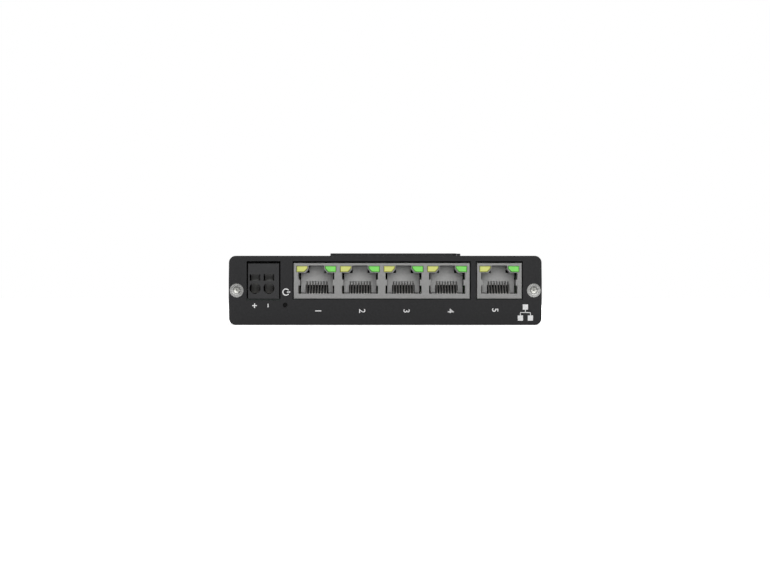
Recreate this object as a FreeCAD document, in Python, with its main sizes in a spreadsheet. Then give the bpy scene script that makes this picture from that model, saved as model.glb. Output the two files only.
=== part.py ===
import FreeCAD, Part
import math
import os
import re

import Sketcher
from FreeCAD import Rotation, Vector

# DIN rail ethernet switch: a slim extruded case with five RJ45 ports and a two-pole push-in power
# terminal on its front panel, and a folded rail bracket with a spring at the back.
#
# Frame of the part, in millimetres: X runs along the long side of the front panel, the ports look
# towards -Y, and Z points up from the broad side on which the switch lies.
# Sketches and lengths are given from the middle of the front panel's face, called the datum here:
# x and z to both sides of it, and y as the depth behind it. Every sub-part is placed at the datum.

# ---------------------------------------------------------------- driving dimensions

SIZES = (
    ("front_face", -43.15, "y of the front panel's face in the part's frame"),
    ("mid_height", 12.5, "z of the datum in the part's frame"),

    ("panel_width", 113.1, "front panel across its rounded ends"),
    ("panel_height", 25.0, "front panel, rear panel and sleeve"),
    ("panel_thickness", 2.0, "front and rear panel"),
    ("end_bulge", 0.15, "how far the short ends of the front panel bow out"),
    ("corner_radius", 2.5, "corners of both panels and of the sleeve"),
    ("panel_bevel", 0.2, "broken edge round the face of each panel"),
    ("window_gap", 0.35, "air beside and under each jack in its window"),
    ("window_headroom", 0.6, "air over each jack in its window"),

    ("sleeve_width", 112.6, "extruded sleeve and rear panel"),
    ("sleeve_length", 76.0, "extruded sleeve between the panels"),
    ("wall", 1.5, "wall of the sleeve"),
    ("guide_depth", 1.6, "card guides stand this far in from the wall"),
    ("guide_thickness", 1.0, "card guides above and below the board"),
    ("channel_radius", 2.6, "round screw channel along each narrow side"),
    ("channel_slit", 1.2, "slit along the screw channel"),
    ("screw_x", 53.65, "case screws to each side of the middle"),
    ("screw_hole", 3.2, "clearance hole for a case screw"),
    ("screw_head", 2.5, "radius of a case screw's head and of its countersink"),
    ("screw_shank", 1.25, "radius of a case screw's shank and of the bore that it is driven into"),
    ("screw_length", 12.0, "case screw, from the face to its tip"),
    ("socket_width", 2.0, "hexagon socket across flats"),
    ("socket_depth", 1.1, "hexagon socket"),

    ("board_width", 108.8, "main circuit board"),
    ("board_length", 74.0, "main circuit board"),
    ("board_thickness", 1.6, "main circuit board"),
    ("board_start", 3.0, "depth of the board's front edge"),
    ("board_top", -3.0, "upper face of the board, from the datum"),
    ("board_play", 0.1, "air over the board in its guides and round the pins in its holes"),

    ("first_port", -24.9, "x of port 1"),
    ("port_pitch", 15.75, "ports 1 to 4, centre to centre"),
    ("single_port", 41.2, "x of port 5"),
    ("quad_width", 63.6, "housing of ports 1 to 4"),
    ("single_width", 16.2, "housing of port 5"),
    ("jack_height", 12.9, "both housings, standing on the board"),
    ("jack_depth", 16.5, "both housings"),
    ("jack_bevel", 0.2, "broken edge round a jack's face"),
    ("opening_half", 6.5, "half the width of a port's opening"),
    ("opening_bottom", -1.2, "floor of a port"),
    ("opening_top", 6.35, "ceiling of a port beside the latch channel"),
    ("latch_half", 2.8, "half the width of the latch channel"),
    ("latch_top", 9.0, "ceiling of the latch channel"),
    ("shoulder_half", 3.9, "half the width of the latch channel at its mouth"),
    ("shoulder_top", 7.7, "where the slope of the shoulder ends"),
    ("rib_half", 5.92, "half the width between the guide ribs for the plug"),
    ("rib_bottom", 1.75, "guide ribs"),
    ("rib_top", 3.9, "guide ribs"),
    ("trough_half", 4.15, "half the width of the trough under the contacts"),
    ("trough_depth", 0.45, "trough in the floor of a port"),
    ("trough_start", 2.4, "depth at which the trough begins"),
    ("peg_radius", 0.9, "locating pegs under the jacks"),
    ("peg_length", 2.4, "locating pegs"),
    ("peg_depth", 9.0, "depth of the locating pegs"),
    ("peg_inset", 2.2, "pegs from the sides of their housing"),

    ("carrier_start", 12.5, "depth of the contact carrier's face"),
    ("carrier_half", 5.85, "half the width of a contact carrier"),
    ("carrier_bottom", -0.75, "lower edge of a contact carrier"),
    ("carrier_play", 0.1, "air between a carrier and its housing"),
    ("carrier_foot_start", 13.7, "depth at which a carrier's feet begin"),
    ("recess_half", 4.1, "half the width of the gap behind the contacts"),
    ("recess_top", 1.95, "top of that gap, where the comb begins"),
    ("comb_height", 1.4, "slots of the comb"),
    ("comb_slot", 0.5, "width of a slot of the comb"),
    ("comb_depth", 0.8, "slots of the comb"),
    ("wire_pitch", 1.016, "contacts, centre to centre"),
    ("wire_width", 0.4, "contact across the port"),
    ("wire_thickness", 0.22, "contact's strip"),
    ("tail_reach", 1.6, "how far behind the jack a contact turns down to the board"),
    ("foot_length", 1.4, "a contact's solder foot on the board"),
    ("nose_play", 0.3, "from the front of the trough to the nose of a contact's finger"),
    ("nose_rise", 0.5, "height of the blunt nose of the finger"),
    ("tip_depth", 13.05, "depth of the finger's tip, inside the comb"),
    ("tip_height", 2.68, "z of the finger's tip"),

    ("light_inner", 3.1, "port light, its edge beside the latch channel"),
    ("light_outer", 7.15, "port light, its outer edge"),
    ("light_bottom", 6.6, "port light"),
    ("light_top", 8.85, "port light"),
    ("light_slope_x", 4.3, "where the light's cut corner meets its lower edge"),
    ("light_slope_z", 7.9, "where the light's cut corner meets its inner edge"),
    ("light_recess", 0.15, "port light behind the jack's face"),
    ("light_length", 15.0, "port light"),
    ("light_play", 0.04, "air round a port light in its shaft"),
    ("lead_width", 0.5, "leads of the lights"),
    ("lead_depth", 18.0, "depth at which the lights' leads go down"),

    ("terminal_x", -43.95, "middle of the power terminal"),
    ("terminal_width", 11.2, "power terminal"),
    ("terminal_bottom", -3.0, "power terminal, standing on the board"),
    ("terminal_height", 12.9, "power terminal"),
    ("terminal_depth", 16.0, "power terminal"),
    ("terminal_recess", 0.3, "power terminal behind the panel's face"),
    ("terminal_gap_x", 0.5, "air beside the power terminal"),
    ("terminal_gap_z", 0.65, "air above and below the power terminal"),
    ("terminal_bevel", 0.3, "bevel along the upper edge of the power terminal"),
    ("pole_left", -47.05, "x of the positive pole"),
    ("pole_pitch", 5.0, "poles, centre to centre"),
    ("entry_radius", 2.0, "wire entry"),
    ("entry_z", 0.75, "wire entry"),
    ("release_width", 3.8, "release slot for a screwdriver's blade"),
    ("release_height", 2.3, "release slot"),
    ("release_bottom", 3.5, "release slot"),
    ("clamp_start", 3.2, "depth at which the clamp chamber begins"),
    ("clamp_half", 1.9, "half the width of a clamp chamber"),
    ("clamp_bottom", -2.05, "clamp chamber"),
    ("clamp_top", 7.2, "clamp chamber"),
    ("clamp_strip", 0.4, "spring steel of the clamps"),
    ("clamp_play", 0.5, "from the front of the chamber to the bend of the clamp spring"),
    ("clamp_end", 1.4, "from the back of the terminal to the end of the clamp spring"),
    ("clamp_edge_reach", 3.4, "from the front of the chamber to the edge that grips the wire"),
    ("clamp_edge_height", 0.75, "height of that edge over the busbar"),
    ("busbar_strip", 0.8, "copper busbar"),
    ("busbar_width", 3.0, "busbars and clamp springs, across"),
    ("busbar_depth", 13.2, "depth of the busbars' solder pins"),
    ("busbar_play", 0.6, "from the front of the chamber to the busbar"),
    ("pin_length", 1.4, "solder pins below the board"),

    ("light_hole_x", -36.15, "power light"),
    ("light_hole_z", -5.3, "power light"),
    ("light_hole_radius", 0.85, "hole for the power light"),
    ("lamp_width", 3.2, "body of the power light"),
    ("lamp_length", 2.4, "body of the power light"),
    ("lens_start", 0.9, "depth of the power light's lens"),
    ("lens_play", 0.1, "air round that lens in the panel"),

    ("capacitor_x", -44.5, "smoothing capacitors"),
    ("capacitor_start", 36.0, "depth of the middle of the first capacitor"),
    ("capacitor_pitch", 12.0, "capacitors, centre to centre"),
    ("capacitor_radius", 4.0, "smoothing capacitor"),
    ("capacitor_height", 10.2, "smoothing capacitor with its foot"),
    ("capacitor_foot", 8.3, "square foot of the capacitor"),
    ("capacitor_foot_height", 1.2, "that foot"),
    ("capacitor_bevel", 0.4, "rolled edge of the can"),

    ("bracket_left", -20.8, "rail bracket"),
    ("bracket_right", 27.1, "rail bracket"),
    ("bracket_sheet", 1.5, "sheet of the rail bracket"),
    ("bracket_bend", 0.6, "inner bend radius of the bracket"),
    ("bracket_bottom", -11.0, "lower edge of the bracket's back plate"),
    ("bracket_corner", 2.0, "free corners of the bracket"),
    ("flange_start", 55.0, "depth of the front edge of the bracket's side flange"),
    ("spring_sheet", 0.8, "spring steel of the rail spring"),
    ("spring_bottom", -8.5, "rail spring"),
    ("spring_rise", 0.2, "how far the rail spring stands above the bracket's flange"),
    ("spring_reach", 29.1, "outermost x of the rail spring"),
    ("spring_root", 9.0, "x of the spring's root end"),
    ("spring_bend", 1.1, "bends of the rail spring"),
    ("spring_loop", 3.6, "from the back plate to the spring's turn"),
    ("spring_grip", 1.5, "how far the spring reaches over the rail's flange"),
    ("spring_nose", 1.55, "from the back plate to the spring's lowest point"),
    ("spring_lead", 2.5, "length of the lead-in beyond that point"),
    ("spring_lift", 3.7, "from the back plate to the tip of the lead-in"),
    ("spring_relief", 0.7, "notch that lets the spring pass behind the flange's bend"),
    ("rail_middle", 3.8, "x of the rail's centre line"),
    ("rail_width", 35.0, "top-hat rail across its flanges"),
    ("rail_play", 0.3, "air between the rail's edge and the fixed hook"),
    ("rail_gap", 1.6, "gap for the rail's flange under the fixed hook"),
    ("hook_width", 14.0, "fixed hook, along the rail"),
    ("hook_grip", 3.0, "how far the fixed hook reaches over the rail's flange"),
    ("hook_middle", 0.5, "z of the middle of the fixed hook"),
    ("hook_window", 6.5, "window that the fixed hook was cut from"),
    ("small_screw_hole", 2.7, "holes for the bracket's screws"),
    ("small_head", 2.4, "radius of a bracket screw's head and of its countersink"),
    ("small_shank", 1.0, "radius of a bracket screw's shank and of the bore that it is driven into"),
    ("plate_screw_x", 12.5, "screws through the back plate and the spring's root"),
    ("plate_screw_z", -5.0, "the lower one of those screws"),
    ("plate_screw_pitch", 11.0, "those screws, centre to centre"),
    ("small_screw_length", 5.0, "bracket's screws"),
    ("small_socket_width", 1.5, "hexagon socket of the bracket's screws"),
    ("small_socket_depth", 0.8, "that socket"),
)

FULL_TURN = 360.0
HALF = 0.5
COUNTERSINK = 90.0
CONTACTS = 8

os.makedirs("parts", exist_ok=True)
document = FreeCAD.newDocument("din_rail_ethernet_switch")
sheet = document.addObject("Spreadsheet::Sheet", "Sizes")
for row, (alias, millimetres, meaning) in enumerate(SIZES, start=1):
    sheet.set("A%d" % row, alias)
    sheet.set("B%d" % row, str(millimetres))
    sheet.set("C%d" % row, meaning)
    sheet.setAlias("B%d" % row, alias)
document.recompute()

ALIASES = re.compile(r"\b(%s)\b" % "|".join(alias for alias, _, _ in SIZES))


def bound(expression):
    """The expression with each alias written as a reference to the sheet."""
    return ALIASES.sub(r"Sizes.\1", str(expression))


def value(expression):
    """What an expression of aliases comes to, in millimetres."""
    return float(sheet.evalExpression(bound(expression)))


# ---------------------------------------------------------------- bodies, sketches and features

sub_parts = []


def place(sub_part, x="0", y="0", z="0"):
    """Put a sub-part's own origin at an offset from the datum."""
    sub_part.setExpression(".Placement.Base.x", bound(x))
    sub_part.setExpression(".Placement.Base.y", bound("front_face + (%s)" % y))
    sub_part.setExpression(".Placement.Base.z", bound("mid_height + (%s)" % z))
    sub_parts.append(sub_part)


def new_body(label, x="0", y="0", z="0"):
    body = document.addObject("PartDesign::Body", label)
    body.Label = label
    place(body, x, y, z)
    return body


def origin_feature(body, role):
    """One of the body's own origin planes or axes."""
    return next(feature for feature in body.Origin.OriginFeatures if feature.Role == role)


def new_sketch(body, role, shift="0"):
    """A sketch on an origin plane, shifted along the plane's normal."""
    sketch = body.newObject("Sketcher::SketchObject", "Profile")
    sketch.AttachmentSupport = [(origin_feature(body, role), "")]
    sketch.MapMode = "FlatFace"
    sketch.setExpression(".AttachmentOffset.Base.z", bound(shift))
    return sketch


def front_sketch(body, depth="0"):
    """A sketch of x and z that lies at a depth behind the datum; its normal points to the front."""
    return new_sketch(body, "XZ_Plane", "-(%s)" % depth)


def back_sketch(body, depth="0"):
    """A sketch at a depth behind the datum that looks to the back, so its own u runs along -X."""
    sketch = front_sketch(body, depth)
    sketch.AttachmentOffset = FreeCAD.Placement(Vector(), Rotation(Vector(0, 1, 0), 180))
    return sketch


def plan_sketch(body, height="0"):
    """A sketch of x and depth that lies at a height; its normal points up."""
    return new_sketch(body, "XY_Plane", height)


def side_sketch(body, x="0"):
    """A sketch of depth and z that lies at an x; its normal points along +X."""
    return new_sketch(body, "YZ_Plane", x)


def constrain(sketch, kind, *references):
    """Add a dimension to a sketch and bind it to the expression that comes last."""
    *geometry, expression = references
    index = sketch.addConstraint(Sketcher.Constraint(kind, *geometry, value(expression)))
    name = "size%d" % index
    sketch.renameConstraint(index, name)
    sketch.setExpression("Constraints." + name, bound(expression))


def outline(sketch, corners):
    """Draw a closed outline; each corner is a pair of expressions and is bound to them."""
    points = [Vector(value(u), value(v), 0) for u, v in corners]
    first = sketch.GeometryCount
    count = len(points)
    for start, end in zip(points, points[1:] + points[:1]):
        sketch.addGeometry(Part.LineSegment(start, end))
    for side, (u, v) in enumerate(corners):
        line = first + side
        previous = first + (side - 1) % count
        sketch.addConstraint(Sketcher.Constraint("Coincident", previous, 2, line, 1))
        constrain(sketch, "DistanceX", -1, 1, line, 1, u)
        constrain(sketch, "DistanceY", -1, 1, line, 1, v)


def rectangle(sketch, left, bottom, right, top):
    outline(sketch, ((left, bottom), (right, bottom), (right, top), (left, top)))


def centred(sketch, middle, width, bottom, top):
    """A rectangle of a width about a middle line."""
    rectangle(sketch, "(%s) - (%s) / 2" % (middle, width), bottom, "(%s) + (%s) / 2" % (middle, width), top)


def circle(sketch, u, v, radius):
    index = sketch.addGeometry(Part.Circle(Vector(value(u), value(v), 0), Vector(0, 0, 1), value(radius)))
    constrain(sketch, "Radius", index, radius)
    constrain(sketch, "DistanceX", -1, 1, index, 3, u)
    constrain(sketch, "DistanceY", -1, 1, index, 3, v)


def bent_strip(sketch, route, thickness, radius):
    """Draw the edge view of a strip that follows a route of points, with an arc at each bend.

    The radius is that of the strip's middle. The outline runs along one side and back along the other.
    """
    points = [Vector(u, v, 0) for u, v in route]
    up = Vector(0, 0, 1)
    near, far = [], []
    for side, curves in ((HALF * thickness, near), (-HALF * thickness, far)):
        start = points[0]
        for before, corner, after in zip(points, points[1:], points[2:]):
            incoming = (corner - before).normalize()
            outgoing = (after - corner).normalize()
            turn = incoming.getAngle(outgoing)
            hand = math.copysign(1.0, incoming.cross(outgoing).z)
            reach = radius * math.tan(HALF * turn)
            bend_start = corner - incoming * reach
            bend_end = corner + outgoing * reach
            centre = bend_start + up.cross(incoming) * radius * hand
            middle = (corner - centre).normalize()
            arc_radius = radius - hand * side
            shift = up.cross(incoming) * side
            curves.append(Part.LineSegment(start + shift, bend_start + shift))
            curves.append(Part.Arc(bend_start + shift, centre + middle * arc_radius,
                                   bend_end + up.cross(outgoing) * side))
            start = bend_end
        direction = (points[-1] - start).normalize()
        shift = up.cross(direction) * side
        curves.append(Part.LineSegment(start + shift, points[-1] + shift))
    tip = Part.LineSegment(near[-1].EndPoint, far[-1].EndPoint)
    root = Part.LineSegment(near[0].StartPoint, far[0].StartPoint)
    block(sketch, near + [tip] + far + [root])


def folded_strip(sketch, route, thickness):
    """Draw the edge view of a thin strip that follows a route of points, with a mitred fold at each."""
    points = [Vector(u, v, 0) for u, v in route]
    sides = [Vector(0, 0, 1).cross((end - start).normalize()) for start, end in zip(points, points[1:])]
    mitres = [(one + other) / (1.0 + one.dot(other)) for one, other in zip(sides, sides[1:])]
    shifts = [side * (HALF * thickness) for side in [sides[0]] + mitres + [sides[-1]]]
    near = [point + shift for point, shift in zip(points, shifts)]
    far = [point - shift for point, shift in zip(points, shifts)]
    corners = near + far[::-1]
    block(sketch, [Part.LineSegment(start, end) for start, end in zip(corners, corners[1:] + corners[:1])])


def block(sketch, curves):
    """Add curves whose places were worked out from the sheet, and hold them there."""
    for curve in curves:
        index = sketch.addGeometry(curve)
        sketch.addConstraint(Sketcher.Constraint("Block", index))


def volume(body):
    return 0.0 if body.Shape.isNull() else body.Shape.Volume


def extrude(body, kind, sketch, length, towards_normal):
    """Pad or pocket a sketch. A pocket must take something away."""
    before = volume(body)
    feature = body.newObject("PartDesign::" + kind, kind)
    feature.Profile = sketch
    feature.setExpression("Length", bound(length))
    feature.Reversed = towards_normal if kind == "Pocket" else not towards_normal
    document.recompute()
    gain = volume(body) - before
    if (gain >= 0) if kind == "Pocket" else (gain <= 0):
        raise RuntimeError("%s of %s changes nothing" % (kind, body.Label))
    return feature


def pad_back(body, sketch, length):
    """Add material behind a front sketch."""
    return extrude(body, "Pad", sketch, length, towards_normal=False)


def pocket_back(body, sketch, length):
    """Cut behind a front sketch."""
    return extrude(body, "Pocket", sketch, length, towards_normal=False)


def pad_along(body, sketch, length):
    """Add material on the side that the sketch's normal points to."""
    return extrude(body, "Pad", sketch, length, towards_normal=True)


def pocket_along(body, sketch, length):
    """Cut on the side that the sketch's normal points to."""
    return extrude(body, "Pocket", sketch, length, towards_normal=True)


def dress(body, kind, size_name, size, wanted):
    """Fillet or chamfer the edges of the body's last feature that pass a test."""
    base = body.Tip
    names = ["Edge%d" % number for number, edge in enumerate(base.Shape.Edges, start=1) if wanted(edge)]
    feature = body.newObject("PartDesign::" + kind, kind)
    feature.Base = (base, names)
    feature.setExpression(size_name, bound(size))
    document.recompute()


def fillet(body, radius, wanted):
    dress(body, "Fillet", "Radius", radius, wanted)


def chamfer(body, size, wanted):
    dress(body, "Chamfer", "Size", size, wanted)


def along(axis):
    """A test for straight edges parallel to an axis."""
    def test(edge):
        if edge.Curve.TypeId != "Part::GeomLine":
            return False
        return abs(abs(edge.Curve.Direction.dot(axis)) - 1.0) < 1e-6
    return test


ALONG_X = along(Vector(1, 0, 0))
ALONG_Y = along(Vector(0, 1, 0))
ALONG_Z = along(Vector(0, 0, 1))


def in_plane(axis, position):
    """A test for edges that lie wholly at one coordinate of an axis."""
    def test(edge):
        box = edge.BoundBox
        low, high = getattr(box, axis + "Min"), getattr(box, axis + "Max")
        return abs(low - position) < 1e-3 and abs(high - position) < 1e-3
    return test


def row(body, originals, *steps):
    """Repeat features along X; each step is a pitch and a count, and several steps multiply."""
    many = body.newObject("PartDesign::MultiTransform", "Rows")
    many.Originals = originals
    lines = []
    for pitch, count in steps:
        line = body.newObject("PartDesign::LinearPattern", "Row")
        line.Direction = (origin_feature(body, "X_Axis"), [""])
        line.setExpression("Length", bound("(%s) * %d" % (pitch, count - 1)))
        line.Occurrences = count
        lines.append(line)
    many.Transformations = lines
    body.Tip = many
    document.recompute()


def mirror_x(body, originals):
    """Repeat features on the other side of the middle."""
    mirrored = body.newObject("PartDesign::Mirrored", "Mirrored")
    mirrored.Originals = originals
    mirrored.MirrorPlane = (origin_feature(body, "YZ_Plane"), [""])
    body.Tip = mirrored
    document.recompute()


def revolve(body, sketch):
    """Turn a sketch about its own vertical axis."""
    turned = body.newObject("PartDesign::Revolution", "Revolution")
    turned.Profile = sketch
    turned.ReferenceAxis = (sketch, ["V_Axis"])
    turned.Angle = FULL_TURN
    document.recompute()
    return turned


def countersunk_holes(body, sketch, diameter, head):
    """Clearance holes for screws with that head radius, countersunk on the side of the sketch's normal."""
    document.recompute()
    hole = body.newObject("PartDesign::Hole", "Hole")
    hole.Profile = sketch
    document.recompute()
    hole.DepthType = "ThroughAll"
    hole.setExpression("Diameter", bound(diameter))
    hole.HoleCutType = "Countersink"
    hole.HoleCutCustomValues = True
    hole.setExpression("HoleCutDiameter", bound("2 * " + head))
    hole.HoleCutCountersinkAngle = COUNTERSINK
    document.recompute()


# ---------------------------------------------------------------- case

CASE_BACK = "2 * panel_thickness + sleeve_length"
PLATE_FRONT = CASE_BACK + " + spring_sheet"
PLATE_BACK = PLATE_FRONT + " + bracket_sheet"
TOP_FACE = "panel_height / 2"
FLANGE_TOP = TOP_FACE + " + bracket_sheet"


def front_panel():
    body = new_body("front_panel")
    sketch = front_sketch(body)
    half_width, half_height = value("panel_width / 2 - end_bulge"), value("panel_height / 2")
    bulge = value("end_bulge")
    corners = [Vector(-half_width, -half_height, 0), Vector(half_width, -half_height, 0),
               Vector(half_width, half_height, 0), Vector(-half_width, half_height, 0)]
    bottom = sketch.addGeometry(Part.LineSegment(corners[0], corners[1]))
    right = sketch.addGeometry(Part.Arc(corners[1], Vector(half_width + bulge, 0, 0), corners[2]))
    top = sketch.addGeometry(Part.LineSegment(corners[2], corners[3]))
    left = sketch.addGeometry(Part.Arc(corners[3], Vector(-half_width - bulge, 0, 0), corners[0]))
    for first, first_end, second, second_end in ((bottom, 2, right, 1), (right, 2, top, 1),
                                                 (top, 2, left, 1), (left, 2, bottom, 1)):
        sketch.addConstraint(Sketcher.Constraint("Coincident", first, first_end, second, second_end))
    for line, sign in ((bottom, -1), (top, 1)):
        constrain(sketch, "DistanceX", -1, 1, line, 1, "%d * (panel_width / 2 - end_bulge)" % sign)
        constrain(sketch, "DistanceY", -1, 1, line, 1, "%d * panel_height / 2" % sign)
        constrain(sketch, "DistanceX", -1, 1, line, 2, "%d * (panel_width / 2 - end_bulge)" % -sign)
        constrain(sketch, "DistanceY", -1, 1, line, 2, "%d * panel_height / 2" % sign)
    chord_radius = "((panel_height / 2) ^ 2 + end_bulge ^ 2) / (2 * end_bulge)"
    constrain(sketch, "Radius", right, chord_radius)
    constrain(sketch, "Radius", left, chord_radius)
    pad_back(body, sketch, "panel_thickness")
    fillet(body, "corner_radius", ALONG_Y)
    chamfer(body, "panel_bevel", in_plane("Y", 0.0))

    windows = front_sketch(body)
    jack_top = "board_top + jack_height + window_headroom"
    for middle, width in (("first_port + 1.5 * port_pitch", "quad_width"), ("single_port", "single_width")):
        centred(windows, middle, width + " + 2 * window_gap", "board_top - window_gap", jack_top)
    centred(windows, "terminal_x", "terminal_width + 2 * terminal_gap_x",
            "terminal_bottom - terminal_gap_z", "terminal_bottom + terminal_height + terminal_gap_z")
    circle(windows, "light_hole_x", "light_hole_z", "light_hole_radius")
    pocket_back(body, windows, "panel_thickness")

    screws = front_sketch(body)
    for sign in "-+":
        circle(screws, sign + "screw_x", "0", "screw_hole / 2")
    countersunk_holes(body, screws, "screw_hole", "screw_head")


def rear_panel():
    body = new_body("rear_panel", y="panel_thickness + sleeve_length")
    sketch = front_sketch(body)
    centred(sketch, "0", "sleeve_width", "-panel_height / 2", "panel_height / 2")
    pad_back(body, sketch, "panel_thickness")
    fillet(body, "corner_radius", ALONG_Y)
    chamfer(body, "panel_bevel", in_plane("Y", value("panel_thickness")))

    tapped = front_sketch(body)
    for number in (0, 1):
        circle(tapped, "plate_screw_x", "plate_screw_z + %d * plate_screw_pitch" % number, "small_shank")
    pocket_back(body, tapped, "panel_thickness")

    screws = back_sketch(body, "panel_thickness")
    for sign in "-+":
        circle(screws, sign + "screw_x", "0", "screw_hole / 2")
    countersunk_holes(body, screws, "screw_hole", "screw_head")


def extruded_sleeve():
    body = new_body("extruded_sleeve", y="panel_thickness")
    outer = front_sketch(body)
    centred(outer, "0", "sleeve_width", "-panel_height / 2", "panel_height / 2")
    pad_back(body, outer, "sleeve_length")
    fillet(body, "corner_radius", ALONG_Y)

    inner = front_sketch(body)
    centred(inner, "0", "sleeve_width - 2 * wall", "wall - panel_height / 2", "panel_height / 2 - wall")
    pocket_back(body, inner, "sleeve_length")

    channel = front_sketch(body)
    circle(channel, "screw_x", "0", "channel_radius")
    channels = pad_back(body, channel, "sleeve_length")
    guide = front_sketch(body)
    inner_wall = "sleeve_width / 2 - wall"
    board_bottom = "board_top - board_thickness"
    for bottom, top in ((board_bottom + " - guide_thickness", board_bottom),
                        ("board_top + board_play", "board_top + board_play + guide_thickness")):
        rectangle(guide, inner_wall + " - guide_depth", bottom, inner_wall + " + wall / 2", top)
    guides = pad_back(body, guide, "sleeve_length")
    mirror_x(body, [channels, guides])

    pilot = front_sketch(body)
    circle(pilot, "screw_x", "0", "screw_shank")
    pilots = pocket_back(body, pilot, "sleeve_length")
    slit = front_sketch(body)
    rectangle(slit, "screw_x - channel_radius - wall", "-channel_slit / 2", "screw_x", "channel_slit / 2")
    slits = pocket_back(body, slit, "sleeve_length")
    mirror_x(body, [pilots, slits])


def countersunk_screws(label, sizes, pitch, x, y, z, turn=Rotation()):
    """Two flat-headed screws a pitch apart; the heads look to the front unless the pair is turned."""
    head, shank, length, socket_width, socket_depth = sizes
    body = new_body(label, x, y, z)
    body.Placement.Rotation = turn
    profile = plan_sketch(body)
    outline(profile, (("0", "0"), (head, "0"), (shank, "%s - %s" % (head, shank)), (shank, length),
                      ("0", length)))
    turned = revolve(body, profile)
    socket = front_sketch(body)
    corner = "%s / sqrt(3)" % socket_width
    outline(socket, [("%s * cos(%d deg)" % (corner, angle), "%s * sin(%d deg)" % (corner, angle))
                     for angle in range(0, 360, 60)])
    drilled = pocket_back(body, socket, socket_depth)
    row(body, [turned, drilled], (pitch, 2))


CASE_SCREW = ("screw_head", "screw_shank", "screw_length", "socket_width", "socket_depth")
PLATE_SCREW = ("small_head", "small_shank", "small_screw_length", "small_socket_width",
               "small_socket_depth")
LOOK_BACK = Rotation(Vector(0, 0, 1), 180)
UPRIGHT = Rotation(Vector(0, 1, 0), -90)


def screws():
    countersunk_screws("front_panel_screws", CASE_SCREW, "2 * screw_x", "-screw_x", "0", "0")
    countersunk_screws("rear_panel_screws", CASE_SCREW, "2 * screw_x", "screw_x", CASE_BACK, "0", LOOK_BACK)
    countersunk_screws("back_plate_screws", PLATE_SCREW, "plate_screw_pitch", "plate_screw_x", PLATE_BACK,
                       "plate_screw_z", LOOK_BACK * UPRIGHT)


# ---------------------------------------------------------------- circuit board and what is soldered to it

PORTS = (("port_1", "first_port"), ("port_2", "first_port + port_pitch"),
         ("port_3", "first_port + 2 * port_pitch"), ("port_4", "first_port + 3 * port_pitch"),
         ("port_5", "single_port"))
JACKS = (("quad_jack", "first_port", "quad_width", 4), ("single_jack", "single_port", "single_width", 1))
POLES = (("positive", "pole_left"), ("negative", "pole_left + pole_pitch"))


def peg_places():
    """The x of every locating peg under the jacks."""
    for _, first, width, count in JACKS:
        middle = "%s + %d / 2 * port_pitch" % (first, count - 1)
        for sign in "-+":
            yield "%s %s (%s / 2 - peg_inset)" % (middle, sign, width)


def main_circuit_board():
    body = new_body("main_circuit_board")
    sketch = plan_sketch(body, "board_top - board_thickness")
    centred(sketch, "0", "board_width", "board_start", "board_start + board_length")
    pad_along(body, sketch, "board_thickness")
    holes = plan_sketch(body, "board_top - board_thickness")
    for x in peg_places():
        circle(holes, x, "peg_depth", "peg_radius + board_play")
    for _, x in POLES:
        centred(holes, x, "busbar_width + 2 * board_play", "busbar_depth - busbar_strip",
                "busbar_depth + busbar_strip")
    pocket_along(body, holes, "board_thickness")


def mirrored(corners):
    """The same corners with their u turned to the other side."""
    return [("-(%s)" % u, v) for u, v in reversed(corners)]


def light_corners(play):
    """The outline of a port light on the right-hand side; play widens it into its shaft."""
    return [("light_slope_x - %s" % play, "light_bottom - %s" % play),
            ("light_outer + %s" % play, "light_bottom - %s" % play),
            ("light_outer + %s" % play, "light_top + %s" % play),
            ("light_inner - %s" % play, "light_top + %s" % play),
            ("light_inner - %s" % play, "light_slope_z - %s" % play)]


def jack_housing(name, first, width, count):
    """A moulded housing with one cavity, two light shafts and a contact trough for each port."""
    body = new_body(name + "_housing", x=first)
    left = "(%d * port_pitch - %s) / 2" % (count - 1, width)
    right = "(%d * port_pitch + %s) / 2" % (count - 1, width)
    block = front_sketch(body)
    rectangle(block, left, "board_top", right, "board_top + jack_height")
    pad_back(body, block, "jack_depth")
    chamfer(body, "jack_bevel", in_plane("Y", 0.0))

    pegs = plan_sketch(body, "board_top")
    for x in ("%s + peg_inset" % left, "%s - peg_inset" % right):
        circle(pegs, x, "peg_depth", "peg_radius")
    extrude(body, "Pad", pegs, "peg_length", towards_normal=False)

    right_side = [("opening_half", "opening_bottom"), ("opening_half", "rib_bottom"),
                  ("rib_half", "rib_bottom"), ("rib_half", "rib_top"), ("opening_half", "rib_top"),
                  ("opening_half", "opening_top"), ("shoulder_half", "opening_top"),
                  ("latch_half", "shoulder_top"), ("latch_half", "latch_top")]
    cavity_sketch = front_sketch(body)
    outline(cavity_sketch, right_side + mirrored(right_side))
    cavity = pocket_back(body, cavity_sketch, "jack_depth")

    shaft_sketch = front_sketch(body)
    shaft = light_corners("light_play")
    outline(shaft_sketch, shaft)
    outline(shaft_sketch, mirrored(shaft))
    shafts = pocket_back(body, shaft_sketch, "jack_depth")

    trough_sketch = front_sketch(body, "trough_start")
    rectangle(trough_sketch, "-trough_half", "opening_bottom - trough_depth", "trough_half",
              "opening_bottom + board_play")
    trough = pocket_back(body, trough_sketch, "jack_depth - trough_start")
    if count > 1:
        row(body, [cavity, shafts, trough], ("port_pitch", count))


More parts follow.
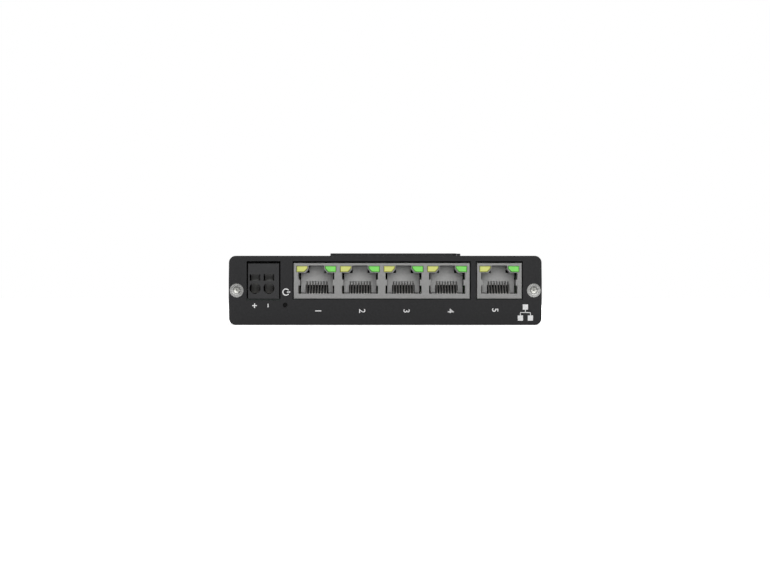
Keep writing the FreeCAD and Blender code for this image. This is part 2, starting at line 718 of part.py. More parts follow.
def contact_carrier(name, x):
    """The insert that closes a port at the back and combs its eight contacts."""
    body = new_body(name + "_contact_carrier", x=x)
    ceiling, latch_ceiling = "opening_top", "latch_top - carrier_play"
    right_side = [("carrier_half", "carrier_bottom"), ("carrier_half", ceiling),
                  ("latch_half - carrier_play", ceiling), ("latch_half - carrier_play", latch_ceiling)]
    face = front_sketch(body, "carrier_start")
    outline(face, right_side + mirrored(right_side))
    pad_back(body, face, "jack_depth - carrier_start")

    feet = front_sketch(body, "carrier_foot_start")
    rectangle(feet, "trough_half", "opening_bottom", "carrier_half", "carrier_bottom")
    rectangle(feet, "-carrier_half", "opening_bottom", "-trough_half", "carrier_bottom")
    pad_back(body, feet, "jack_depth - carrier_foot_start")

    recess = front_sketch(body, "carrier_start")
    rectangle(recess, "-recess_half", "carrier_bottom", "recess_half", "recess_top")
    pocket_back(body, recess, "jack_depth - carrier_start")
    comb = front_sketch(body, "carrier_start")
    for number in range(CONTACTS):
        centred(comb, "(%s) * wire_pitch" % (number - HALF * (CONTACTS - 1)), "comb_slot", "recess_top",
                "recess_top + comb_height")
    pocket_back(body, comb, "comb_depth")


def contact_route():
    """A contact in side view: its foot on the board, its run under the port and its sprung finger."""
    foot = value("board_top + wire_thickness / 2")
    run = value("opening_bottom - trough_depth + wire_thickness / 2")
    tail, nose = value("jack_depth + tail_reach"), value("trough_start + nose_play")
    return [(tail + value("foot_length"), foot), (tail, foot), (tail, run), (nose, run),
            (nose, run + value("nose_rise")), (value("tip_depth"), value("tip_height"))]


def jack_contacts(name, first, count):
    """All the contacts of one housing, eight to a port."""
    body = new_body(name + "_contacts", x="%s - %s * wire_pitch" % (first, HALF * (CONTACTS - 1)))
    sketch = side_sketch(body, "-wire_width / 2")
    folded_strip(sketch, contact_route(), value("wire_thickness"))
    wire = pad_along(body, sketch, "wire_width")
    row(body, [wire], ("wire_pitch", CONTACTS), *([("port_pitch", count)] if count > 1 else []))


def port_light(name, x, sign):
    """A port light: a moulded lens with two leads down to the board."""
    body = new_body(name, x=x)
    corners = light_corners("0")
    lens = front_sketch(body, "light_recess")
    outline(lens, corners if sign > 0 else mirrored(corners))
    pad_back(body, lens, "light_length")
    height = value("(light_bottom + light_top) / 2")
    route = [(value("light_recess + light_length - lead_width"), height), (value("lead_depth"), height),
             (value("lead_depth"), value("board_top"))]
    for lead_x in ("light_slope_x + lead_width / 2", "light_outer - lead_width"):
        side = "%d * (%s) - lead_width / 2" % (sign, lead_x)
        sketch = side_sketch(body, side)
        folded_strip(sketch, route, value("lead_width"))
        pad_along(body, sketch, "lead_width")


def power_terminal():
    """Two-pole push-in terminal: wire entries below, release slots above, clamps in two chambers."""
    body = new_body("power_terminal_housing", x="0")
    block = front_sketch(body, "terminal_recess")
    centred(block, "terminal_x", "terminal_width", "terminal_bottom", "terminal_bottom + terminal_height")
    pad_back(body, block, "terminal_depth - terminal_recess")
    top = value("terminal_bottom + terminal_height")
    front = value("terminal_recess")
    chamfer(body, "terminal_bevel", lambda edge: in_plane("Y", front)(edge) and in_plane("Z", top)(edge))

    openings = front_sketch(body, "terminal_recess")
    for _, x in POLES:
        circle(openings, x, "entry_z", "entry_radius")
        centred(openings, x, "release_width", "release_bottom", "release_bottom + release_height")
    pocket_back(body, openings, "clamp_start - terminal_recess")

    chambers = front_sketch(body, "clamp_start")
    for _, x in POLES:
        centred(chambers, x, "2 * clamp_half", "clamp_bottom", "clamp_top")
    pocket_back(body, chambers, "terminal_depth - clamp_start")

    slots = plan_sketch(body, "terminal_bottom")
    for _, x in POLES:
        centred(slots, x, "busbar_width + 2 * board_play", "busbar_depth - busbar_strip",
                "busbar_depth + busbar_strip")
    pocket_along(body, slots, "clamp_bottom - terminal_bottom")


def terminal_metal():
    """The busbar and the clamp spring of each pole."""
    bar, spring = value("clamp_bottom + busbar_strip / 2"), value("clamp_top - clamp_strip / 2")
    pin = value("busbar_depth")
    bar_route = [(value("clamp_start + busbar_play"), bar), (pin, bar),
                 (pin, value("board_top - board_thickness - pin_length"))]
    spring_route = [(value("terminal_depth - clamp_end"), spring),
                    (value("clamp_start + clamp_play"), spring),
                    (value("clamp_start + clamp_edge_reach"), bar + value("clamp_edge_height"))]
    for name, x in POLES:
        for kind, route, strip in (("busbar", bar_route, "busbar_strip"),
                                   ("clamp_spring", spring_route, "clamp_strip")):
            body = new_body("%s_%s" % (name, kind), x=x)
            sketch = side_sketch(body, "-busbar_width / 2")
            folded_strip(sketch, route, value(strip))
            pad_along(body, sketch, "busbar_width")


def power_light():
    """A side-looking lamp under the board, its lens behind the hole in the panel."""
    body = new_body("power_light", x="light_hole_x")
    case = front_sketch(body, "board_start")
    board_bottom = "board_top - board_thickness"
    centred(case, "0", "lamp_width", "2 * light_hole_z - (%s)" % board_bottom, board_bottom)
    pad_back(body, case, "lamp_length")
    lens = front_sketch(body, "lens_start")
    circle(lens, "0", "light_hole_z", "light_hole_radius - lens_play")
    pad_back(body, lens, "board_start - lens_start")


# Label, x and depth of the middle, width, length, height, bevel round the top and rounding of the corners.
COMPONENTS = (
    ("switch_chip", "-4", "52", "14", "14", "1.4", "0.2", None),
    ("voltage_regulator", "-33", "56", "5", "4", "1.5", "0.2", None),
    ("input_fuse", "-47.5", "24", "5.1", "7.4", "2.8", "0.3", None),
    ("surge_suppressor", "-39.5", "24", "6", "7", "2.4", "0.3", None),
    ("power_inductor", "-33", "42", "7.3", "7.3", "4.2", None, "1.2"),
    ("crystal", "14", "50", "11.4", "4.7", "3.6", None, "2.2"),
)
TRANSFORMER = ("26.8", "12.7", "9.4", "5.6", "0.4", None)


def component(label, x, depth, width, length, height, bevel, corner):
    """A component on the board, with a bevelled top or rounded corners."""
    body = new_body(label, x, depth, "board_top")
    foot = plan_sketch(body)
    centred(foot, "0", width, "-(%s) / 2" % length, "(%s) / 2" % length)
    pad_along(body, foot, height)
    if corner:
        fillet(body, corner, ALONG_Z)
    if bevel:
        chamfer(body, bevel, in_plane("Z", value(height)))


def electronics():
    for name, x in PORTS:
        component(name.replace("port", "line_transformer"), x, *TRANSFORMER)
    for sizes in COMPONENTS:
        component(*sizes)
    for number in (0, 1):
        smoothing_capacitor("smoothing_capacitor_%d" % (number + 1),
                            "capacitor_start + %d * capacitor_pitch" % number)


def smoothing_capacitor(label, depth):
    """An aluminium can on its square foot."""
    body = new_body(label, "capacitor_x", depth, "board_top")
    foot = plan_sketch(body)
    centred(foot, "0", "capacitor_foot", "-capacitor_foot / 2", "capacitor_foot / 2")
    pad_along(body, foot, "capacitor_foot_height")
    profile = side_sketch(body)
    outline(profile, (("0", "capacitor_foot_height"), ("capacitor_radius", "capacitor_foot_height"),
                      ("capacitor_radius", "capacitor_height - capacitor_bevel"),
                      ("capacitor_radius - capacitor_bevel", "capacitor_height"),
                      ("0", "capacitor_height")))
    revolve(body, profile)


# ---------------------------------------------------------------- rail bracket

HOOK_WALL = "rail_middle - rail_width / 2 - rail_play"
HOOK_TIP = HOOK_WALL + " + rail_play + hook_grip"


def rail_bracket():
    """One folded sheet: a flange on the case's side, a plate on its back and a hook cut from the plate."""
    body = new_body("rail_bracket")
    section = side_sketch(body, "bracket_left")
    outline(section, ((PLATE_FRONT, "bracket_bottom"), (PLATE_BACK, "bracket_bottom"),
                      (PLATE_BACK, FLANGE_TOP), ("flange_start", FLANGE_TOP),
                      ("flange_start", TOP_FACE), (PLATE_FRONT, TOP_FACE)))
    pad_along(body, section, "bracket_right - bracket_left")
    front, back, top = value(PLATE_FRONT), value(PLATE_BACK), value(TOP_FACE)
    sheet_thickness, low = value("bracket_sheet"), value("bracket_bottom")
    flange_front = value("flange_start")
    fillet(body, "bracket_bend", lambda edge: ALONG_X(edge) and in_plane("Y", front)(edge)
           and in_plane("Z", top)(edge))
    fillet(body, "bracket_bend + bracket_sheet", lambda edge: ALONG_X(edge) and in_plane("Y", back)(edge)
           and in_plane("Z", top + sheet_thickness)(edge))
    fillet(body, "bracket_corner", lambda edge: (ALONG_Z(edge) and in_plane("Y", flange_front)(edge))
           or (ALONG_Y(edge) and in_plane("Z", low)(edge)))

    window = front_sketch(body, PLATE_FRONT)
    rectangle(window, HOOK_WALL, "hook_middle - hook_width / 2", HOOK_WALL + " + hook_window",
              "hook_middle + hook_width / 2")
    pocket_back(body, window, "bracket_sheet")
    hook = plan_sketch(body, "hook_middle - hook_width / 2")
    outline(hook, ((HOOK_WALL + " - bracket_sheet", PLATE_FRONT), (HOOK_WALL, PLATE_FRONT),
                   (HOOK_WALL, PLATE_BACK + " + rail_gap"),
                   (HOOK_TIP, PLATE_BACK + " + rail_gap"),
                   (HOOK_TIP, PLATE_BACK + " + rail_gap + bracket_sheet"),
                   (HOOK_WALL + " - bracket_sheet", PLATE_BACK + " + rail_gap + bracket_sheet")))
    pad_along(body, hook, "hook_width")
    hook_x, hook_back = value(HOOK_WALL), value(PLATE_BACK + " + rail_gap")
    fillet(body, "bracket_bend", lambda edge: ALONG_Z(edge) and in_plane("Y", hook_back)(edge)
           and in_plane("X", hook_x)(edge))
    fillet(body, "bracket_bend + bracket_sheet",
           lambda edge: ALONG_Z(edge) and in_plane("Y", hook_back + sheet_thickness)(edge)
           and in_plane("X", hook_x - sheet_thickness)(edge))

    plate_screws = back_sketch(body, PLATE_BACK)
    for number in (0, 1):
        circle(plate_screws, "-plate_screw_x", "plate_screw_z + %d * plate_screw_pitch" % number,
               "small_screw_hole / 2")
    countersunk_holes(body, plate_screws, "small_screw_hole", "small_head")


def rail_spring():
    """Stiff spring strip: clamped under the back plate, round its end and over the rail's flange."""
    body = new_body("rail_spring")
    root, outer = value(CASE_BACK + " + spring_sheet / 2"), value("spring_reach - spring_sheet / 2")
    plate, rail_edge = value(PLATE_BACK), value("rail_middle + rail_width / 2")
    nose = rail_edge - value("spring_grip")
    route = [(value("spring_root"), root), (outer, root), (outer, plate + value("spring_loop")),
             (nose, plate + value("spring_nose")),
             (nose - value("spring_lead"), plate + value("spring_lift"))]
    sketch = plan_sketch(body, "spring_bottom")
    bent_strip(sketch, route, value("spring_sheet"), value("spring_bend"))
    pad_along(body, sketch, FLANGE_TOP + " + spring_rise - spring_bottom")
    relief = front_sketch(body, CASE_BACK)
    rectangle(relief, "spring_root - wall", TOP_FACE + " - spring_relief", "bracket_right + board_play",
              FLANGE_TOP + " + wall")
    pocket_back(body, relief, "spring_sheet")
    holes = front_sketch(body, CASE_BACK)
    for number in (0, 1):
        circle(holes, "plate_screw_x", "plate_screw_z + %d * plate_screw_pitch" % number,
               "small_screw_hole / 2")
    pocket_back(body, holes, "spring_sheet")


# ---------------------------------------------------------------- the whole switch

def build():
    front_panel()
    extruded_sleeve()
    rear_panel()
    screws()
    main_circuit_board()
    for name, first, width, count in JACKS:
        jack_housing(name, first, width, count)
        jack_contacts(name, first, count)
    for name, x in PORTS:
        contact_carrier(name, x)
        port_light(name + "_yellow_light", x, -1)
        port_light(name + "_green_light", x, 1)
    power_terminal()
    terminal_metal()
    power_light()
    electronics()
    rail_bracket()
    rail_spring()


def check():
    """Stop if any object has failed or any sub-part has no sound shape."""
    document.recompute()
    for thing in document.Objects:
        if "Invalid" in thing.State or "Error" in thing.State:
            raise RuntimeError("%s has failed: %s" % (thing.Name, thing.State))
    for sub_part in sub_parts:
        if sub_part.Shape.isNull() or not sub_part.Shape.isValid():
            raise RuntimeError("%s has no valid shape" % sub_part.Label)


def export():
    whole = FreeCAD.BoundBox()
    for sub_part in sub_parts:
        sub_part.Shape.exportStep("parts/%s.step" % sub_part.Label)
        whole.add(sub_part.Shape.BoundBox)
        solids = len(sub_part.Shape.Solids)
        print("%-28s %3d solids %9.2f mm3" % (sub_part.Label, solids, sub_part.Shape.Volume))
    print("%d sub-parts; x %.3f %.3f, y %.3f %.3f, z %.3f %.3f" % (
        len(sub_parts), whole.XMin, whole.XMax, whole.YMin, whole.YMax, whole.ZMin, whole.ZMax))


build()
check()
export()
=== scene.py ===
import math

import bmesh
import bpy
from bpy.props import FloatProperty, FloatVectorProperty, IntProperty, PointerProperty
from mathutils import Euler, Matrix, Vector


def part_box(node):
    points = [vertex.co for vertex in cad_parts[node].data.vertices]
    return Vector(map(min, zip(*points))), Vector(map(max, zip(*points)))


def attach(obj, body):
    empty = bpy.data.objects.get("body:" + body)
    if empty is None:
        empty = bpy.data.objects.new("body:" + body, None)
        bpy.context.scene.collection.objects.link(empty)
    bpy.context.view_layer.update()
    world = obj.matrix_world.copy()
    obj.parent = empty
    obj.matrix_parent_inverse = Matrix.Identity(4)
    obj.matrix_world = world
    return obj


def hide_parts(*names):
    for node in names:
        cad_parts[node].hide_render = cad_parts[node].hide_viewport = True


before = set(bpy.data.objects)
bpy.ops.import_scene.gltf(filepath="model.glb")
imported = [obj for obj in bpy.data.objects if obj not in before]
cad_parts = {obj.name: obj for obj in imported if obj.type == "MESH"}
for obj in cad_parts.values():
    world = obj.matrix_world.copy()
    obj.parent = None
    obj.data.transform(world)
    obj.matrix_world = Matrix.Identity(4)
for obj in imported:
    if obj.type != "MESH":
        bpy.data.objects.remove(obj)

bl_info = {
    "name": "Rail Switch Finisher",
    "version": (1, 0, 0),
    "blender": (4, 5, 0),
    "location": "3D View > Sidebar > Switch",
    "description": "Gives the packed rail switch its edges, finishes, screws, contacts, print and studio",
    "category": "Object",
}

MM = 0.001
MERGE = 0.001 * MM
ROOT = "root"
RIGHT_ANGLE = math.pi / 2
FLAT_ANGLE = math.radians(0.5)
SHARP_ANGLE = math.radians(32)
BEVEL_ANGLE = math.radians(40)
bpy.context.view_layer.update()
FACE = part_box("front_panel")[0].y
MIDDLE = (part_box("front_panel")[0].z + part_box("front_panel")[1].z) / 2
PORTS = ("port_1", "port_2", "port_3", "port_4", "port_5")
CARRIERS = [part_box(port + "_contact_carrier") for port in PORTS]
PORT_X = [(low.x + high.x) / 2 for low, high in CARRIERS]


def linear(code):
    """The linear colour of an sRGB hex value."""
    channels = [(code >> shift & 255) / 255 for shift in (16, 8, 0)]
    return tuple(c / 12.92 if c <= 0.04045 else ((c + 0.055) / 1.055) ** 2.4 for c in channels)


def length(name, size, description):
    """A property for a length, its default given in millimetres."""
    return FloatProperty(name=name, description=description, default=size * MM, unit="LENGTH", precision=5)


def paint(name, code, description):
    """A property for a colour, its default given as an sRGB hex value."""
    return FloatVectorProperty(name=name, description=description, default=linear(code), size=3,
                               subtype="COLOR", min=0.0, max=1.0)


# ---------------------------------------------------------------- what a user would change

class CaseSettings(bpy.types.PropertyGroup):
    plate_edge: length("Plate edge", 0.08, "Rounding of the panels' cut edges")
    sheet_edge: length("Sheet edge", 0.18, "Rounding of the bracket's stamped edges")
    print_thickness: length("Print thickness", 0.02, "How far the print stands on the panel's face")
    plate: paint("Plate", 0x232324, "Black anodised panels")
    sleeve: paint("Sleeve", 0x222223, "Black anodised extrusion")
    coat: paint("Coat", 0x262627, "Powder coat of the rail bracket")
    spring: paint("Spring", 0x303032, "Blued steel of the rail spring")


class ScrewSettings(bpy.types.PropertyGroup):
    steps: IntProperty(name="Steps", description="Facets round a screw", default=72, min=12, max=144, step=6)
    rim: length("Rim", 0.16, "Rounding of a head's rim")
    mouth: length("Mouth", 0.1, "Bevel round the hexagon socket")
    groove: length("Groove", 0.07, "Depth of the turned groove in the head")
    bright: paint("Bright", 0x525251, "Nickel-plated case screws")
    # The socket colour is lighter than the head's: a painted highlight for the socket's floor.
    socket: paint("Socket", 0x62625F, "Fresh metal in the punched socket")
    black: paint("Black", 0x2A2A2B, "Blackened steel of the bracket's screws")


class JackSettings(bpy.types.PropertyGroup):
    edge: length("Edge", 0.07, "Rounding of the moulded edges")
    bend: length("Bend", 0.35, "Bends of the sprung contacts")
    comb: length("Comb", 2.0, "How much deeper the combs are moulded than the solids have them")
    plastic: paint("Plastic", 0x7C7C7B, "Moulded grey of the jacks")
    # The carriers are painted a lighter grey than the jacks: painted light for the back of the ports.
    insert: paint("Insert", 0x9D9D9C, "Lighter grey of the carriers in the ports")
    plating: paint("Plating", 0x9E9D9A, "Dull plating of the contacts")
    yellow: paint("Yellow", 0xB8BD60, "Lens of the left lights")
    green: paint("Green", 0x68C24A, "Lens of the right lights")


class TerminalSettings(bpy.types.PropertyGroup):
    edge: length("Edge", 0.14, "Rounding of the moulded edges")
    plastic: paint("Plastic", 0x282829, "Moulded black of the power terminal")
    copper: paint("Copper", 0x706C66, "Tinned copper of the busbars")
    clamp: paint("Clamp", 0x6A6A69, "Bare steel of the clamp springs")
    lens: paint("Lens", 0x060606, "Smoky lens of the power light")


class BoardSettings(bpy.types.PropertyGroup):
    mask: paint("Mask", 0x10201A, "Solder mask of the circuit board")
    epoxy: paint("Epoxy", 0x1C1C1D, "Moulded packages")
    can: paint("Can", 0xC4C4C2, "Drawn metal cans")


class PrintSettings(bpy.types.PropertyGroup):
    ink: paint("Ink", 0xDADADA, "Screen-printed white")
    digit_height: length("Digit height", 2.174, "Height of the port numbers")
    sign: length("Sign", 1.7, "Span of the plus sign under the power terminal")
    stroke: length("Stroke", 0.36, "Line width of the signs")
    symbol: length("Symbol", 2.6, "Span of the power symbol")
    square: length("Square", 1.9, "Squares of the network symbol")


class StageSettings(bpy.types.PropertyGroup):
    distance: FloatProperty(name="Distance", description="From the camera to the front panel", default=1.13,
                            unit="LENGTH")
    picture: FloatProperty(name="Picture", description="Width that the camera takes in at the front panel",
                           default=0.278, unit="LENGTH")
    shift: length("Shift", -0.09, "Camera beside the middle of the front panel")
    rise: length("Rise", 0.5, "Camera above the middle of the front panel")
    key: FloatProperty(name="Key", description="Softbox over the camera", default=14.0, unit="POWER")
    fill: FloatProperty(name="Fill", description="Softbox behind the switch", default=16.0, unit="POWER")
    side: FloatProperty(name="Side", description="Softbox at the switch's left end", default=10.0,
                        unit="POWER")
    top: FloatProperty(name="Top", description="Softbox above the switch", default=5.0, unit="POWER")
    sky: FloatProperty(name="Sky", description="Even light of the studio's walls", default=0.18, min=0.0)
    floor: paint("Floor", 0xEDEDED, "Pale studio floor")


# ---------------------------------------------------------------- nodes

def add(tree, kind, links=(), inputs=(), **settings):
    """Add a node with its settings, its input values and what is linked into it."""
    node = tree.nodes.new(kind)
    for name, setting in settings.items():
        setattr(node, name, setting)
    for socket, setting in dict(inputs).items():
        node.inputs[socket].default_value = setting
    for socket, source in dict(links).items():
        tree.links.new(source, node.inputs[socket])
    return node


def surface(name, base, **settings):
    """A material with its shader, and a place on the piece in millimetres."""
    material = bpy.data.materials.new(name)
    material.use_nodes = True
    tree = material.node_tree
    tree.nodes.clear()
    inputs = {"Base Color": (*base, 1.0)}
    inputs.update({socket.replace("_", " "): setting for socket, setting in settings.items()})
    shader = add(tree, "ShaderNodeBsdfPrincipled", inputs=inputs)
    add(tree, "ShaderNodeOutputMaterial", {"Surface": shader.outputs[0]})
    place = add(tree, "ShaderNodeTexCoord")
    place = add(tree, "ShaderNodeVectorMath", {0: place.outputs["Object"]}, {1: (1 / MM,) * 3},
                operation="MULTIPLY")
    return material, tree, shader, place.outputs[0]


def grain(tree, place, size, along=(1.0, 1.0, 1.0), detail=2.0):
    """A field of noise with spots so many millimetres across, drawn out along the axes given above one."""
    drawn = add(tree, "ShaderNodeVectorMath", {0: place}, {1: along}, operation="DIVIDE")
    return add(tree, "ShaderNodeTexNoise", {"Vector": drawn.outputs[0]},
               {"Scale": 0.5 / size, "Detail": detail}).outputs[0]


def shade(tree, shader, field, dark, light):
    """Let a field move the base colour between two shades."""
    span = add(tree, "ShaderNodeMapRange", {"Value": field}, {"From Min": 0.3, "From Max": 0.7})
    mix = add(tree, "ShaderNodeMix", {"Factor": span.outputs[0]}, data_type="RGBA")
    mix.inputs[6].default_value = (*dark, 1.0)
    mix.inputs[7].default_value = (*light, 1.0)
    tree.links.new(mix.outputs[2], shader.inputs["Base Color"])


def relief(tree, shader, field, depth):
    """Let a field stand so many millimetres out of the surface."""
    bump = add(tree, "ShaderNodeBump", {"Height": field}, {"Distance": depth * MM, "Strength": 1.0})
    tree.links.new(bump.outputs[0], shader.inputs["Normal"])


def scaled(colour, factor):
    """A shade of a colour."""
    return tuple(min(channel * factor, 1.0) for channel in colour)


# ---------------------------------------------------------------- finishes

def anodised_plate(case):
    """Aluminium sheet, bead blasted and black anodised: a dry, even black whose grain barely shows."""
    material, tree, shader, place = surface("Bead-blasted anodised aluminium", case.plate, Roughness=0.65,
                                            Specular_IOR_Level=0.12)
    # Bead blasting leaves dimples of about 0.1 mm; they are drawn at 0.4 mm so that they show.
    blast = grain(tree, place, 0.4, detail=3.0)
    shade(tree, shader, blast, scaled(case.plate, 0.88), scaled(case.plate, 1.12))
    relief(tree, shader, blast, 0.012)
    return material


def anodised_extrusion(case):
    """Aluminium profile, black anodised as it left the die: the same black with faint lines lengthwise."""
    material, tree, shader, place = surface("Extruded anodised aluminium", case.sleeve, Roughness=0.62,
                                            Specular_IOR_Level=0.15)
    # Die lines lie about 0.3 mm apart; they are drawn at 0.6 mm and run the whole length.
    lines = grain(tree, place, 0.6, along=(1.0, 60.0, 1.0), detail=3.0)
    shade(tree, shader, lines, scaled(case.sleeve, 0.85), scaled(case.sleeve, 1.2))
    relief(tree, shader, lines, 0.02)
    return material


def powder_coat(case):
    """Powder-coated steel: satin black with the soft orange peel of a cured powder."""
    material, tree, shader, place = surface("Powder-coated steel", case.coat, Roughness=0.62,
                                            Specular_IOR_Level=0.15)
    # Orange peel waves are about 1 mm long.
    relief(tree, shader, grain(tree, place, 1.0, detail=1.0), 0.03)
    return material


def spring_steel(name, steel):
    """Cold-rolled spring steel: grey metal with rolling marks along X, the way that the rail spring runs."""
    material, tree, shader, place = surface(name, steel, Metallic=1.0, Roughness=0.4)
    # Rolling marks are about 0.1 mm wide; they are drawn at 0.5 mm.
    marks = grain(tree, place, 0.5, along=(12.0, 1.0, 1.0), detail=3.0)
    shade(tree, shader, marks, scaled(steel, 0.86), scaled(steel, 1.08))
    relief(tree, shader, marks, 0.006)
    return material


def turned_steel(name, head, socket):
    """Plated steel turned on a lathe: fine rings on the head, and a lighter colour painted in the punched
    socket as a highlight.
    """
    material, tree, shader, _ = surface(name, head, Metallic=1.0, Roughness=0.3)
    radius = add(tree, "ShaderNodeAttribute", attribute_name="turned_radius").outputs["Fac"]
    # The socket ends at a radius of about 1.2 mm; inside it the colour is painted lighter, as a highlight.
    socket_highlight = add(tree, "ShaderNodeMapRange", {"Value": radius},
                 {"From Min": 1.15, "From Max": 1.25, "To Min": 1.0, "To Max": 0.0})
    shade(tree, shader, socket_highlight.outputs[0], head, socket)
    # Feed marks are about 0.05 mm apart; they are drawn 0.3 mm apart.
    turns = add(tree, "ShaderNodeMath", {0: radius}, {1: 2 * math.pi / 0.3}, operation="MULTIPLY")
    rings = add(tree, "ShaderNodeMath", {0: turns.outputs[0]}, operation="SINE")
    relief(tree, shader, rings.outputs[0], 0.004)
    return material


def moulded_polyester(name, grey):
    """Glass-filled polyester, injection moulded in a spark-eroded tool: a dry mid grey."""
    material, tree, shader, place = surface(name, grey, Roughness=0.55, Specular_IOR_Level=0.35)
    # The tool's texture is about 0.05 mm; it is drawn at 0.35 mm.
    texture = grain(tree, place, 0.35, detail=3.0)
    shade(tree, shader, texture, scaled(grey, 0.93), scaled(grey, 1.07))
    relief(tree, shader, texture, 0.008)
    return material


def moulded_terminal(terminal):
    """Polyamide, injection moulded: a smoother black than the case, with faint flow clouds."""
    material, tree, shader, place = surface("Moulded polyamide", terminal.plastic, Roughness=0.52,
                                            Specular_IOR_Level=0.12)
    # Flow clouds are a few millimetres wide.
    clouds = grain(tree, place, 3.0, along=(1.6, 1.0, 1.0))
    shade(tree, shader, clouds, scaled(terminal.plastic, 0.92), scaled(terminal.plastic, 1.08))
    return material


def plated_bronze(jack):
    """Phosphor bronze strip under dull nickel: a dark, soft grey metal with the wiping marks of the plug."""
    material, tree, shader, place = surface("Nickel-plated phosphor bronze", jack.plating, Metallic=1.0,
                                            Roughness=0.68)
    # Wiping marks run along the strip and are about 0.1 mm wide.
    marks = grain(tree, place, 0.1, along=(1.0, 20.0, 20.0))
    shade(tree, shader, marks, scaled(jack.plating, 0.8), scaled(jack.plating, 1.1))
    return material


def tinned_copper(terminal):
    """Copper bar with a dull tin plate."""
    material, tree, shader, place = surface("Tinned copper", terminal.copper, Metallic=1.0, Roughness=0.4)
    # The matt tin's crystals are drawn as clouds of about 1 mm.
    shade(tree, shader, grain(tree, place, 1.0), scaled(terminal.copper, 0.9), scaled(terminal.copper, 1.05))
    return material


def diffuse_lens(name, tint):
    """Polycarbonate light pipe with a diffusing filler, its rim painted darker as shade."""
    material, tree, shader, place = surface(name, tint, Roughness=0.35, Specular_IOR_Level=0.2,
                                            Subsurface_Weight=0.2, Subsurface_Scale=0.8 * MM)
    rim = add(tree, "ShaderNodeAttribute", attribute_name="painted_rim_shade").outputs["Fac"]
    # The marked rim is painted down to a third of the tint, as painted shade.
    mix = add(tree, "ShaderNodeMix", {"Factor": rim}, data_type="RGBA")
    mix.inputs[6].default_value = (*tint, 1.0)
    mix.inputs[7].default_value = (*scaled(tint, 0.35), 1.0)
    tree.links.new(mix.outputs[2], shader.inputs["Base Color"])
    # The filler's flecks are about 0.3 mm.
    relief(tree, shader, grain(tree, place, 0.3), 0.01)
    return material


def smoky_lens(terminal):
    """Clear polycarbonate light pipe: dark while the light behind it is off."""
    return surface("Clear polycarbonate", terminal.lens, Roughness=0.3, Specular_IOR_Level=0.02)[0]


def laminate(board):
    """Glass-epoxy laminate under green solder mask: the copper shows as slightly lighter, raised tracks."""
    material, tree, shader, place = surface("Solder-masked laminate", board.mask, Roughness=0.4,
                                            Specular_IOR_Level=0.15)
    # Tracks and fills are about 1.5 mm wide.
    tracks = add(tree, "ShaderNodeTexBrick", {"Vector": place},
                 {"Scale": 1.0, "Mortar Size": 0.12, "Brick Width": 6.0, "Row Height": 1.5})
    shade(tree, shader, tracks.outputs["Fac"], board.mask, scaled(board.mask, 0.7))
    return material


def moulded_epoxy(board):
    """Transfer-moulded epoxy package: a matt, faintly speckled black."""
    material, tree, shader, place = surface("Moulded epoxy", board.epoxy, Roughness=0.6,
                                            Specular_IOR_Level=0.3)
    # Filler specks are about 0.2 mm.
    shade(tree, shader, grain(tree, place, 0.2), scaled(board.epoxy, 0.8), scaled(board.epoxy, 1.3))
    return material


def drawn_can(board):
    """Aluminium can, deep drawn: bright metal with upright draw marks."""
    material, tree, shader, place = surface("Drawn aluminium", board.can, Metallic=1.0, Roughness=0.3)
    # Draw marks are about 0.1 mm wide; they are drawn at 0.3 mm.
    marks = grain(tree, place, 0.3, along=(1.0, 1.0, 20.0))
    shade(tree, shader, marks, scaled(board.can, 0.88), scaled(board.can, 1.05))
    return material


def screen_ink(print_settings):
    """Two-part screen ink, dry and faintly uneven over the blasted plate."""
    material, tree, shader, place = surface("Screen-printed ink", print_settings.ink, Roughness=0.7,
                                            Specular_IOR_Level=0.2)
    # The mesh of the screen leaves pits of about 0.2 mm.
    shade(tree, shader, grain(tree, place, 0.2), scaled(print_settings.ink, 0.85), print_settings.ink)
    return material


# ---------------------------------------------------------------- meshes

def tidy_copy(node):
    """A copy of a CAD node's mesh with its corners merged and its flat faces made whole."""
    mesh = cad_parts[node].data.copy()
    mesh.materials.clear()
    work = bmesh.new()
    work.from_mesh(mesh)
    bmesh.ops.remove_doubles(work, verts=work.verts, dist=MERGE)
    bmesh.ops.dissolve_limit(work, angle_limit=FLAT_ANGLE, verts=work.verts, edges=work.edges)
    work.to_mesh(mesh)
    work.free()
    return mesh


def finished(name, mesh, slot, replaced, *materials):
    """Link a mesh as a piece of the switch, smooth but for its hard edges, that stands for CAD nodes."""
    piece = bpy.data.objects.new(name, mesh)
    bpy.context.scene.collection.objects.link(piece)
    for material in materials:
        mesh.materials.append(material)
    mesh.shade_smooth()
    mesh.set_sharp_from_angle(angle=SHARP_ANGLE)
    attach(piece, ROOT)
    if replaced:
        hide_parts(*replaced)
    return piece


def rounded(node, slot, edge, material):
    """A CAD node's shape again, with its edges broken."""
    piece = finished(node + "_finished", tidy_copy(node), slot, [node], material)
    bevel = piece.modifiers.new("Edge", "BEVEL")
    bevel.width = edge
    bevel.segments = 2
    bevel.limit_method = "ANGLE"
    bevel.angle_limit = BEVEL_ANGLE
    bevel.harden_normals = True
    return piece


def plain(material, *nodes):
    """Give CAD nodes a material and leave their shape alone."""
    for node in nodes:
        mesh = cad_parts[node].data
        mesh.materials.clear()
        mesh.materials.append(material)


def grown(name, data, tree, inputs):
    """Run a geometry tree on an object's data with its inputs given by name, and return the mesh."""
    host = bpy.data.objects.new(name, data)
    bpy.context.scene.collection.objects.link(host)
    modifier = host.modifiers.new(name, "NODES")
    modifier.node_group = tree
    identifiers = {item.name: item.identifier for item in tree.interface.items_tree
                   if item.item_type == "SOCKET" and item.in_out == "INPUT"}
    for socket, setting in inputs.items():
        modifier[identifiers[socket]] = setting
    bpy.context.view_layer.update()
    graph = bpy.context.evaluated_depsgraph_get()
    mesh = bpy.data.meshes.new_from_object(host.evaluated_get(graph), depsgraph=graph)
    bpy.data.objects.remove(host)
    if not mesh.polygons:
        raise RuntimeError(name + " came out empty")
    return mesh


